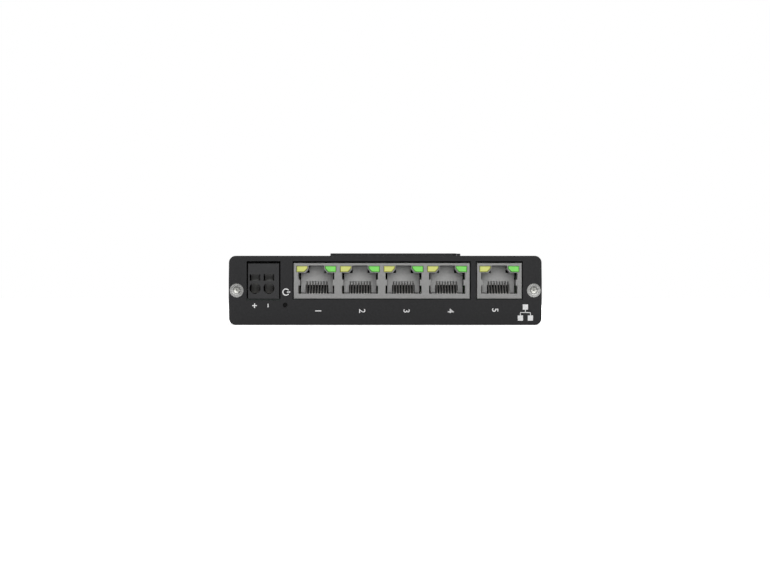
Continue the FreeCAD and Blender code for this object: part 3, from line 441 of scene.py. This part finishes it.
def drawn(name, points):
    """A curve of straight lines through points, as data for a geometry tree."""
    curve = bpy.data.curves.new(name, "CURVE")
    curve.dimensions = "3D"
    line = curve.splines.new("POLY")
    line.points.add(len(points) - 1)
    for place, point in zip(line.points, points):
        place.co = (*point, 1.0)
    return curve


# ---------------------------------------------------------------- geometry trees

def geometry_tree(name, **sockets):
    """An empty geometry tree, its named inputs, and the output of each by name."""
    tree = bpy.data.node_groups.new(name, "GeometryNodeTree")
    tree.interface.new_socket("Geometry", in_out="INPUT", socket_type="NodeSocketGeometry")
    for socket, kind in sockets.items():
        tree.interface.new_socket(socket.replace("_", " "), in_out="INPUT", socket_type="NodeSocket" + kind)
    tree.interface.new_socket("Geometry", in_out="OUTPUT", socket_type="NodeSocketGeometry")
    return tree, tree.nodes.new("NodeGroupInput").outputs


def finish_tree(tree, given, result):
    """End a tree in real, painted geometry."""
    real = add(tree, "GeometryNodeRealizeInstances", {"Geometry": result})
    painted = add(tree, "GeometryNodeSetMaterial",
                  {"Geometry": real.outputs[0], "Material": given["Material"]})
    add(tree, "NodeGroupOutput", {"Geometry": painted.outputs[0]})
    return tree


def contact_tree():
    """A flat strip along a drawn route, in a comb of contacts, and such a comb at each port."""
    tree, given = geometry_tree("Sprung contacts", Width="Float", Thickness="Float", Bend="Float",
                                Contacts="Int", Pitch="Float", Ports="Int", Port_Pitch="Float",
                                Material="Material")
    route = add(tree, "GeometryNodeFilletCurve", {"Curve": given["Geometry"], "Radius": given["Bend"]},
                {"Count": 5, "Limit Radius": True}, mode="POLY")
    section = add(tree, "GeometryNodeCurvePrimitiveQuadrilateral",
                  {"Width": given["Width"], "Height": given["Thickness"]})
    strip = add(tree, "GeometryNodeCurveToMesh",
                {"Curve": route.outputs[0], "Profile Curve": section.outputs[0]}, {"Fill Caps": True})
    result = strip.outputs[0]
    for count, pitch in (("Contacts", "Pitch"), ("Ports", "Port Pitch")):
        step = add(tree, "ShaderNodeCombineXYZ", {"X": given[pitch]})
        line = add(tree, "GeometryNodeMeshLine", {"Count": given[count], "Offset": step.outputs[0]})
        result = add(tree, "GeometryNodeInstanceOnPoints",
                     {"Points": line.outputs[0], "Instance": result}).outputs[0]
    return finish_tree(tree, given, result)


def screw_tree():
    """A drawn half profile turned about Z, its socket drawn out into a hexagon, at both ends of a pitch."""
    tree, given = geometry_tree("Socket screws", Steps="Int", Points="Int", Socket="Float", First="Vector",
                                Pitch="Vector", Turn="Vector", Material="Material")
    columns = add(tree, "ShaderNodeMath", {0: given["Steps"]}, {1: 1.0}, operation="ADD")
    grid = add(tree, "GeometryNodeMeshGrid",
               {"Vertices X": columns.outputs[0], "Vertices Y": given["Points"]})
    index = add(tree, "GeometryNodeInputIndex")
    row = add(tree, "ShaderNodeMath", {0: index.outputs[0], 1: given["Points"]}, operation="MODULO")
    share = add(tree, "ShaderNodeMath", {0: index.outputs[0], 1: given["Points"]}, operation="DIVIDE")
    column = add(tree, "ShaderNodeMath", {0: share.outputs[0]}, operation="FLOOR")
    part = add(tree, "ShaderNodeMath", {0: column.outputs[0], 1: given["Steps"]}, operation="DIVIDE")
    angle = add(tree, "ShaderNodeMath", {0: part.outputs[0]}, {1: 2 * math.pi}, operation="MULTIPLY")
    position = add(tree, "GeometryNodeInputPosition")
    profile = add(tree, "GeometryNodeSampleIndex",
                  {"Geometry": given["Geometry"], "Value": position.outputs[0], "Index": row.outputs[0]},
                  data_type="FLOAT_VECTOR")
    half = add(tree, "ShaderNodeSeparateXYZ", {0: profile.outputs[0]})
    # A hexagon's wall lies at half its width over the cosine of the angle from the nearest flat.
    flat = add(tree, "ShaderNodeMath", {0: angle.outputs[0]}, {1: math.pi / 3}, operation="FLOORED_MODULO")
    off = add(tree, "ShaderNodeMath", {0: flat.outputs[0]}, {1: math.pi / 6}, operation="SUBTRACT")
    cosine = add(tree, "ShaderNodeMath", {0: off.outputs[0]}, operation="COSINE")
    wall = add(tree, "ShaderNodeMath", {0: half.outputs["X"], 1: cosine.outputs[0]}, operation="DIVIDE")
    socket = add(tree, "ShaderNodeMath", {0: half.outputs["X"], 1: given["Socket"]}, {2: MERGE},
                 operation="COMPARE")
    radius = add(tree, "ShaderNodeMix",
                 {"Factor": socket.outputs[0], 2: half.outputs["X"], 3: wall.outputs[0]})
    cos = add(tree, "ShaderNodeMath", {0: angle.outputs[0]}, operation="COSINE")
    sin = add(tree, "ShaderNodeMath", {0: angle.outputs[0]}, operation="SINE")
    x = add(tree, "ShaderNodeMath", {0: radius.outputs[0], 1: cos.outputs[0]}, operation="MULTIPLY")
    y = add(tree, "ShaderNodeMath", {0: radius.outputs[0], 1: sin.outputs[0]}, operation="MULTIPLY")
    place = add(tree, "ShaderNodeCombineXYZ", {"X": x.outputs[0], "Y": y.outputs[0], "Z": half.outputs["Z"]})
    named = add(tree, "GeometryNodeStoreNamedAttribute", {"Geometry": grid.outputs[0]},
                {"Name": "turned_radius"})
    in_mm = add(tree, "ShaderNodeMath", {0: radius.outputs[0]}, {1: 1 / MM}, operation="MULTIPLY")
    tree.links.new(in_mm.outputs[0], named.inputs["Value"])
    turned = add(tree, "GeometryNodeSetPosition",
                 {"Geometry": named.outputs[0], "Position": place.outputs[0]})
    closed = add(tree, "GeometryNodeMergeByDistance", {"Geometry": turned.outputs[0]}, {"Distance": MERGE})
    laid = add(tree, "GeometryNodeTransform", {"Geometry": closed.outputs[0], "Rotation": given["Turn"]})
    line = add(tree, "GeometryNodeMeshLine", {"Start Location": given["First"], "Offset": given["Pitch"]},
               {"Count": 2})
    screws = add(tree, "GeometryNodeInstanceOnPoints",
                 {"Points": line.outputs[0], "Instance": laid.outputs[0]})
    return finish_tree(tree, given, screws.outputs[0])


# ---------------------------------------------------------------- operators

class Piece:
    """What every operator here shares."""
    bl_options = {"REGISTER", "UNDO"}


class SWITCH_OT_case(Piece, bpy.types.Operator):
    """Break the edges of the panels and finish them and the extruded sleeve"""
    bl_idname = "switch.case"
    bl_label = "Case"

    def execute(self, context):
        case = context.scene.switch_case
        plate = anodised_plate(case)
        face = rounded("front_panel", "black_anodised_plate", case.plate_edge, plate)
        # The face steps back by the ink's thickness, so that the print ends at the panel's true size.
        for vertex in face.data.vertices:
            if vertex.co.y < FACE + 0.01 * MM:
                vertex.co.y += case.print_thickness
        rounded("rear_panel", "black_anodised_plate", case.plate_edge, plate)
        rounded("extruded_sleeve", "black_anodised_extrusion", case.plate_edge, anodised_extrusion(case))
        return {"FINISHED"}


class SWITCH_OT_screws(Piece, bpy.types.Operator):
    """Turn the socket screws of the case and of the back plate"""
    bl_idname = "switch.screws"
    bl_label = "Screws"

    def execute(self, context):
        screw = context.scene.switch_screws
        tree = screw_tree()
        # The case screws' sockets get the lighter colour, a painted highlight.
        bright = turned_steel("Nickel-plated steel", screw.bright, screw.socket)
        black = turned_steel("Blackened steel", screw.black, screw.black)
        # Radius of the shank, half the width of the socket and its depth, in millimetres.
        for node, slot, material, shank, socket, sink in (
                ("front_panel_screws", "screw_steel", bright, 1.25, 1.0, 0.5),
                ("rear_panel_screws", "screw_steel", bright, 1.25, 1.0, 0.5),
                ("back_plate_screws", "black_screw_steel", black, 1.0, 0.75, 0.4)):
            self.turn(node, slot, material, tree, shank * MM, socket * MM, sink * MM)
        return {"FINISHED"}

    def turn(self, node, slot, material, tree, shank, socket, sink):
        """Turn a pair of screws in the place of the CAD's, the heads on the side that they had."""
        screw = bpy.context.scene.switch_screws
        low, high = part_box(node)
        upright = high.z - low.z > high.x - low.x
        head = (high.x - low.x if upright else high.z - low.z) / 2
        front = node.startswith("front")
        tip = high.y - low.y
        # The groove's middle, half its floor, and the run of each of its slopes.
        groove, floor, slope = head * 0.8 + 0.075 * MM, 0.125 * MM, 0.1 * MM
        corner = socket / math.cos(math.pi / 6)
        # The socket's floor is dished and ends in a punch mark.
        punch, dish, mark = socket * 0.3, socket * 0.08, socket * 0.4
        half_profile = (
            (0.0, -tip), (shank - screw.rim, -tip), (shank, screw.rim - tip), (shank, shank - head),
            (head, -screw.rim / 4), (head - screw.rim / 4, 0.0), (groove + floor + slope, 0.0),
            (groove + floor, -screw.groove), (groove - floor, -screw.groove),
            (groove - floor - slope, 0.0), (corner + screw.mouth, 0.0), (socket, -screw.mouth),
            (socket, -sink), (punch, -sink - dish), (0.0, -sink - mark))
        first = Vector((low.x + head, low.y if front else high.y, low.z + head))
        last = Vector((high.x - head, first.y, high.z - head))
        mesh = grown(node, drawn(node, [(r, 0.0, z) for r, z in half_profile]), tree, {
            "Steps": screw.steps, "Points": len(half_profile), "Socket": socket, "First": first,
            "Pitch": last - first, "Turn": (RIGHT_ANGLE if front else -RIGHT_ANGLE, 0.0, 0.0),
            "Material": material})
        finished(node + "_turned", mesh, slot, [node])


class SWITCH_OT_jacks(Piece, bpy.types.Operator):
    """Break the moulded edges of the jack housings and of the carriers in their ports"""
    bl_idname = "switch.jacks"
    bl_label = "Jacks"

    def execute(self, context):
        jack = context.scene.switch_jacks
        plastic = moulded_polyester("Moulded glass-filled polyester", jack.plastic)
        for node in ("quad_jack_housing", "single_jack_housing"):
            rounded(node, "jack_plastic", jack.edge, plastic)
        # The carriers get the lighter grey, painted light where the ports' back walls lie in shade.
        plastic = moulded_polyester("Moulded polyester painted lighter", jack.insert)
        comb_depth, near = 0.8 * MM, 0.05 * MM
        for port, (low, high) in zip(PORTS, CARRIERS):
            carrier = rounded(port + "_contact_carrier", "insert_plastic", jack.edge, plastic)
            for vertex in carrier.data.vertices:
                if abs(vertex.co.y - low.y - comb_depth) < near:
                    vertex.co.y += jack.comb
        return {"FINISHED"}


class SWITCH_OT_contacts(Piece, bpy.types.Operator):
    """Bend the sprung contacts of every port"""
    bl_idname = "switch.contacts"
    bl_label = "Contacts"

    contacts: IntProperty(name="Contacts", description="Contacts in a port", default=8, min=1, max=10)

    def execute(self, context):
        jack = context.scene.switch_jacks
        plating = plated_bronze(jack)
        tree = contact_tree()
        pitch, width, thickness = 1.016 * MM, 0.4 * MM, 0.22 * MM
        port_pitch = PORT_X[1] - PORT_X[0]
        for node, first, ports in (("quad_jack_contacts", PORT_X[0], 4),
                                   ("single_jack_contacts", PORT_X[4], 1)):
            start = first - (self.contacts - 1) / 2 * pitch
            # Tail on the board, run under the carrier, nose, and the sprung arm up into the comb: depth
            # behind the face and height over the middle, in millimetres.
            route = [(start, FACE + depth * MM, MIDDLE + height * MM) for depth, height in (
                (19.5, -2.89), (18.1, -2.89), (18.1, -1.54), (2.7, -1.54), (2.7, -1.04), (13.05, 2.68))]
            mesh = grown(node, drawn(node, route), tree, {
                "Width": width, "Thickness": thickness, "Bend": jack.bend, "Contacts": self.contacts,
                "Pitch": pitch, "Ports": ports, "Port Pitch": port_pitch, "Material": plating})
            finished(node + "_bent", mesh, "contact_plating", [node])
        return {"FINISHED"}


class SWITCH_OT_port_lights(Piece, bpy.types.Operator):
    """Dish the lenses of the port lights"""
    bl_idname = "switch.port_lights"
    bl_label = "Port lights"

    def execute(self, context):
        jack = context.scene.switch_jacks
        for colour, tint in (("yellow", jack.yellow), ("green", jack.green)):
            lens = diffuse_lens("Diffuse %s polycarbonate" % colour, tint)
            for port in PORTS:
                node = "%s_%s_light" % (port, colour)
                mesh = tidy_copy(node)
                self.dish(mesh)
                finished(node + "_lens", mesh, colour + "_lens", [node], lens)
        return {"FINISHED"}

    def dish(self, mesh):
        """Break the rim of a lens's face and mark the rim for the painted shade."""
        bevel, fall, dull = 0.12 * MM, 0.1 * MM, 0.34 * MM
        work = bmesh.new()
        work.from_mesh(mesh)
        front = min(vertex.co.y for vertex in work.verts)
        rim = work.verts.layers.float.new("painted_rim_shade")
        for vertex in work.verts:
            vertex[rim] = 1.0
        face = [f for f in work.faces if all(v.co.y < front + 0.01 * MM for v in f.verts)]
        bmesh.ops.inset_region(work, faces=face, thickness=bevel, depth=0.0)
        outer = {v for f in work.faces for v in f.verts if v.co.y < front + 0.01 * MM} - \
                {v for f in face for v in f.verts}
        for vertex in outer:
            vertex.co.y += fall
        # A band this wide inside the bevel fades from the painted rim shade to the unshaded face.
        bmesh.ops.inset_region(work, faces=face, thickness=dull, depth=0.0)
        for vertex in {v for f in face for v in f.verts}:
            vertex[rim] = 0.0
        work.to_mesh(mesh)
        work.free()


class SWITCH_OT_terminal(Piece, bpy.types.Operator):
    """Break the moulded edges of the power terminal and finish the metal inside it"""
    bl_idname = "switch.terminal"
    bl_label = "Power terminal"

    def execute(self, context):
        terminal = context.scene.switch_terminal
        rounded("power_terminal_housing", "terminal_plastic", terminal.edge, moulded_terminal(terminal))
        plain(tinned_copper(terminal), "positive_busbar", "negative_busbar")
        plain(spring_steel("Bare spring steel", terminal.clamp), "positive_clamp_spring",
              "negative_clamp_spring")
        plain(smoky_lens(terminal), "power_light")
        return {"FINISHED"}


class SWITCH_OT_rail_mount(Piece, bpy.types.Operator):
    """Finish the folded bracket and its spring"""
    bl_idname = "switch.rail_mount"
    bl_label = "Rail mount"

    def execute(self, context):
        case = context.scene.switch_case
        rounded("rail_bracket", "black_coated_steel", case.sheet_edge, powder_coat(case))
        rounded("rail_spring", "blued_spring_steel", case.plate_edge,
                spring_steel("Blued spring steel", case.spring))
        return {"FINISHED"}


class SWITCH_OT_electronics(Piece, bpy.types.Operator):
    """Finish the circuit board and what is soldered to it"""
    bl_idname = "switch.electronics"
    bl_label = "Electronics"

    def execute(self, context):
        board = context.scene.switch_board
        plain(laminate(board), "main_circuit_board")
        plain(moulded_epoxy(board), "switch_chip", "voltage_regulator", "input_fuse", "surge_suppressor",
              "power_inductor", *("line_transformer_%d" % number for number in range(1, 6)))
        plain(drawn_can(board), "crystal", "smoothing_capacitor_1", "smoothing_capacitor_2")
        return {"FINISHED"}


class SWITCH_OT_print(Piece, bpy.types.Operator):
    """Print the port numbers, the poles, the power symbol and a network symbol on the front panel"""
    bl_idname = "switch.print"
    bl_label = "Print"

    def execute(self, context):
        ink = screen_ink(context.scene.switch_print)
        for label, flat in (("port_numbers", self.numbers()), ("pole_signs", self.poles()),
                            ("power_symbol", self.power()), ("network_symbol", self.network())):
            finished(label, flat, None, [], ink)
        return {"FINISHED"}

    def upright(self, work):
        """Stand flat outlines up on the panel's face as thin ink, and return their mesh."""
        sheet = bmesh.ops.extrude_face_region(work, geom=work.faces[:])
        for vertex in (item for item in sheet["geom"] if isinstance(item, bmesh.types.BMVert)):
            vertex.co.z -= bpy.context.scene.switch_case.print_thickness
        bmesh.ops.transform(work, matrix=Matrix.Translation((0, FACE, MIDDLE)) @
                            Matrix.Rotation(RIGHT_ANGLE, 4, "X"), verts=work.verts)
        bmesh.ops.recalc_face_normals(work, faces=work.faces)
        mesh = bpy.data.meshes.new("ink")
        work.to_mesh(mesh)
        work.free()
        return mesh

    def outline(self, work, points):
        """A flat outline from points in metres."""
        work.faces.new([work.verts.new((x, y, 0.0)) for x, y in points])

    def bar(self, work, x, y, width, height):
        """A flat bar about its middle."""
        self.outline(work, [(x + i * width / 2, y + j * height / 2)
                            for i, j in ((-1, -1), (1, -1), (1, 1), (-1, 1))])

    def numbers(self):
        """The port numbers, their tops to the right."""
        # A digit of the built-in font is about 0.69 of the font's size high.
        size = bpy.context.scene.switch_print.digit_height / 0.69
        thickening = 0.02 * MM
        work = bmesh.new()
        # Middle of each number, in millimetres from the middle of the panel.
        for digit, (x, y) in enumerate(((-24.2, -7.4), (-8.3, -7.4), (7.7, -7.4), (23.7, -7.4), (39.7, -7.1)),
                                       start=1):
            text = bpy.data.curves.new("digit", "FONT")
            text.body = str(digit)
            text.align_x = text.align_y = "CENTER"
            text.size = size
            text.offset = thickening
            host = bpy.data.objects.new("digit", text)
            bpy.context.scene.collection.objects.link(host)
            bpy.context.view_layer.update()
            glyph = bpy.data.meshes.new_from_object(
                host.evaluated_get(bpy.context.evaluated_depsgraph_get()))
            bpy.data.objects.remove(host)
            low = Vector(map(min, *(v.co for v in glyph.vertices)))
            high = Vector(map(max, *(v.co for v in glyph.vertices)))
            glyph.transform(Matrix.Translation((x * MM, y * MM, 0)) @
                            Matrix.Rotation(-RIGHT_ANGLE, 4, "Z") @ Matrix.Translation(-(low + high) / 2))
            work.from_mesh(glyph)
        bmesh.ops.remove_doubles(work, verts=work.verts, dist=MERGE)
        return self.upright(work)

    def poles(self):
        """A plus under the first pole and a minus, turned as the numbers are, under the second."""
        settings = bpy.context.scene.switch_print
        work = bmesh.new()
        x, y, arm, stroke = -47.2 * MM, -5.5 * MM, settings.sign / 2, settings.stroke / 2
        self.outline(work, [(x + i, y + j) for i, j in (
            (-stroke, -arm), (stroke, -arm), (stroke, -stroke), (arm, -stroke), (arm, stroke),
            (stroke, stroke), (stroke, arm), (-stroke, arm), (-stroke, stroke), (-arm, stroke),
            (-arm, -stroke), (-stroke, -stroke))])
        self.bar(work, -42.3 * MM, -5.45 * MM, settings.stroke, settings.sign * 0.75)
        return self.upright(work)

    def power(self):
        """An open ring with a bar in its gap, turned as the numbers are."""
        settings = bpy.context.scene.switch_print
        work = bmesh.new()
        x, y, outer, stroke = -35.85 * MM, -0.6 * MM, settings.symbol / 2, settings.stroke
        # The ring is open over 35 degrees to each side of its bar.
        steps, gap = 40, 35
        angles = [math.radians(gap + (360 - 2 * gap) * step / steps) for step in range(steps + 1)]
        ring = [(math.cos(a), math.sin(a)) for a in angles]
        edge = [[work.verts.new((x + radius * i, y + radius * j, 0.0)) for i, j in ring]
                for radius in (outer, outer - stroke)]
        for step in range(steps):
            work.faces.new((edge[0][step], edge[0][step + 1], edge[1][step + 1], edge[1][step]))
        self.bar(work, x + outer * 0.72, y, outer * 0.95, stroke)
        return self.upright(work)

    def network(self):
        """Three squares joined by lines, in the place at the panel's end."""
        settings = bpy.context.scene.switch_print
        work = bmesh.new()
        x, y, square, stroke = 50.6 * MM, -8.0 * MM, settings.square, settings.stroke * 0.7
        spread, rise = square * 0.95, square * 1.05
        for i, j in ((0.0, rise), (-spread, -rise), (spread, -rise)):
            self.bar(work, x + i, y + j, square, square)
        self.bar(work, x, y + (rise - square / 2) / 2, stroke, rise - square / 2)
        self.bar(work, x, y, 2 * spread + stroke, stroke)
        for side in (-1, 1):
            self.bar(work, x + side * spread, y - (rise - square / 2) / 2, stroke, rise - square / 2)
        return self.upright(work)


class SWITCH_OT_stage(Piece, bpy.types.Operator):
    """Set up the floor, the softboxes, the white surroundings and the camera"""
    bl_idname = "switch.stage"
    bl_label = "Stage"

    def execute(self, context):
        stage = context.scene.switch_stage
        self.floor(stage)
        self.surroundings(context.scene, stage)
        front = Vector((0.0, FACE, MIDDLE))
        self.softbox("Key", stage.key, 0.6, front + Vector((0.08, -1.3, 0.2)), front)
        middle = front + Vector((0.0, 0.04, 0.0))
        self.softbox("Fill", stage.fill, 0.7, middle + Vector((0.5, 1.1, 0.5)), middle)
        self.softbox("Side", stage.side, 0.7, middle + Vector((-1.1, 0.5, 0.6)), middle)
        self.softbox("Top", stage.top, 0.9, front + Vector((0.0, 0.1, 1.1)), front)
        self.camera(context.scene, stage, front)
        return {"FINISHED"}

    def floor(self, stage):
        """A wide floor, white to the eye, that still takes the shadow."""
        material = bpy.data.materials.new("Painted studio floor")
        material.use_nodes = True
        tree = material.node_tree
        tree.nodes.clear()
        paint = add(tree, "ShaderNodeBsdfDiffuse", inputs={"Color": (*stage.floor, 1.0)})
        place = add(tree, "ShaderNodeTexCoord").outputs["Object"]
        away = add(tree, "ShaderNodeVectorMath", {0: place}, operation="LENGTH")
        # The floor glows less near the switch, so that its shadow stays.
        strength = add(tree, "ShaderNodeMapRange", {"Value": away.outputs["Value"]},
                       {"From Min": 0.07, "From Max": 0.25, "To Min": 0.45, "To Max": 1.0})
        glow = add(tree, "ShaderNodeEmission", {"Strength": strength.outputs[0]},
                   {"Color": (1.0, 1.0, 1.0, 1.0)})
        lit = add(tree, "ShaderNodeAddShader", {0: paint.outputs[0], 1: glow.outputs[0]})
        seen = self.seen(tree)
        both = add(tree, "ShaderNodeMixShader", {0: seen, 1: paint.outputs[0], 2: lit.outputs[0]})
        add(tree, "ShaderNodeOutputMaterial", {"Surface": both.outputs[0]})
        mesh = bpy.data.meshes.new("floor")
        work = bmesh.new()
        bmesh.ops.create_grid(work, x_segments=1, y_segments=1, size=3.0)
        work.to_mesh(mesh)
        work.free()
        mesh.materials.append(material)
        floor = bpy.data.objects.new("floor", mesh)
        bpy.context.scene.collection.objects.link(floor)

    def seen(self, tree):
        """Whether a ray comes from the eye, straight or by way of metal or glass."""
        path = add(tree, "ShaderNodeLightPath").outputs
        either = add(tree, "ShaderNodeMath", {0: path["Is Camera Ray"], 1: path["Is Glossy Ray"]},
                     operation="MAXIMUM")
        return add(tree, "ShaderNodeMath", {0: either.outputs[0], 1: path["Is Transmission Ray"]},
                   operation="MAXIMUM").outputs[0]

    def surroundings(self, scene, stage):
        """White walls: as bright as paper to the eye, softer as a light."""
        world = bpy.data.worlds.new("Studio")
        world.use_nodes = True
        tree = world.node_tree
        tree.nodes.clear()
        white = (1.0, 1.0, 1.0, 1.0)
        light = add(tree, "ShaderNodeBackground", inputs={"Color": white, "Strength": stage.sky})
        paper = add(tree, "ShaderNodeBackground", inputs={"Color": white, "Strength": 1.0})
        both = add(tree, "ShaderNodeMixShader",
                   {0: self.seen(tree), 1: light.outputs[0], 2: paper.outputs[0]})
        add(tree, "ShaderNodeOutputWorld", {"Surface": both.outputs[0]})
        scene.world = world

    def softbox(self, name, power, size, place, target):
        """A square softbox that looks at the switch."""
        lamp = bpy.data.lights.new(name, "AREA")
        lamp.energy = power
        lamp.size = size
        box = bpy.data.objects.new(name, lamp)
        box.location = place
        box.rotation_euler = (target - place).to_track_quat("-Z", "Y").to_euler()
        bpy.context.scene.collection.objects.link(box)

    def camera(self, scene, stage, front):
        """A long lens straight in front of the panel."""
        lens = bpy.data.cameras.new("Camera")
        lens.sensor_width = 36.0
        lens.lens = lens.sensor_width * stage.distance / stage.picture
        lens.clip_end = 20.0
        camera = bpy.data.objects.new("Camera", lens)
        camera.location = front + Vector((stage.shift, -stage.distance, stage.rise))
        camera.rotation_euler = Euler((RIGHT_ANGLE, 0.0, 0.0))
        scene.collection.objects.link(camera)
        scene.camera = camera
        scene.view_settings.view_transform = "Standard"


class SWITCH_PT_sidebar(bpy.types.Panel):
    """The switch's pieces and what can be changed about them"""
    bl_idname = "SWITCH_PT_sidebar"
    bl_label = "Rail switch"
    bl_space_type = "VIEW_3D"
    bl_region_type = "UI"
    bl_category = "Switch"

    def draw(self, context):
        for operator in OPERATORS:
            self.layout.operator(operator.bl_idname)
        for name, group in SETTINGS.items():
            box = self.layout.box()
            for size in group.__annotations__:
                box.prop(getattr(context.scene, name), size)


SETTINGS = {"switch_case": CaseSettings, "switch_screws": ScrewSettings, "switch_jacks": JackSettings,
            "switch_terminal": TerminalSettings, "switch_board": BoardSettings, "switch_print": PrintSettings,
            "switch_stage": StageSettings}
OPERATORS = (SWITCH_OT_case, SWITCH_OT_screws, SWITCH_OT_jacks, SWITCH_OT_contacts, SWITCH_OT_port_lights,
             SWITCH_OT_terminal, SWITCH_OT_rail_mount, SWITCH_OT_electronics, SWITCH_OT_print,
             SWITCH_OT_stage)


def register():
    for kind in (*SETTINGS.values(), *OPERATORS, SWITCH_PT_sidebar):
        bpy.utils.register_class(kind)
    for name, group in SETTINGS.items():
        setattr(bpy.types.Scene, name, PointerProperty(type=group))


def unregister():
    for name in SETTINGS:
        delattr(bpy.types.Scene, name)
    for kind in (SWITCH_PT_sidebar, *reversed(OPERATORS), *reversed(SETTINGS.values())):
        bpy.utils.unregister_class(kind)


def main():
    """Make every piece and the stage."""
    register()
    for operator in OPERATORS:
        group, name = operator.bl_idname.split(".")
        getattr(getattr(bpy.ops, group), name)()


if __name__ == "__main__":
    main()
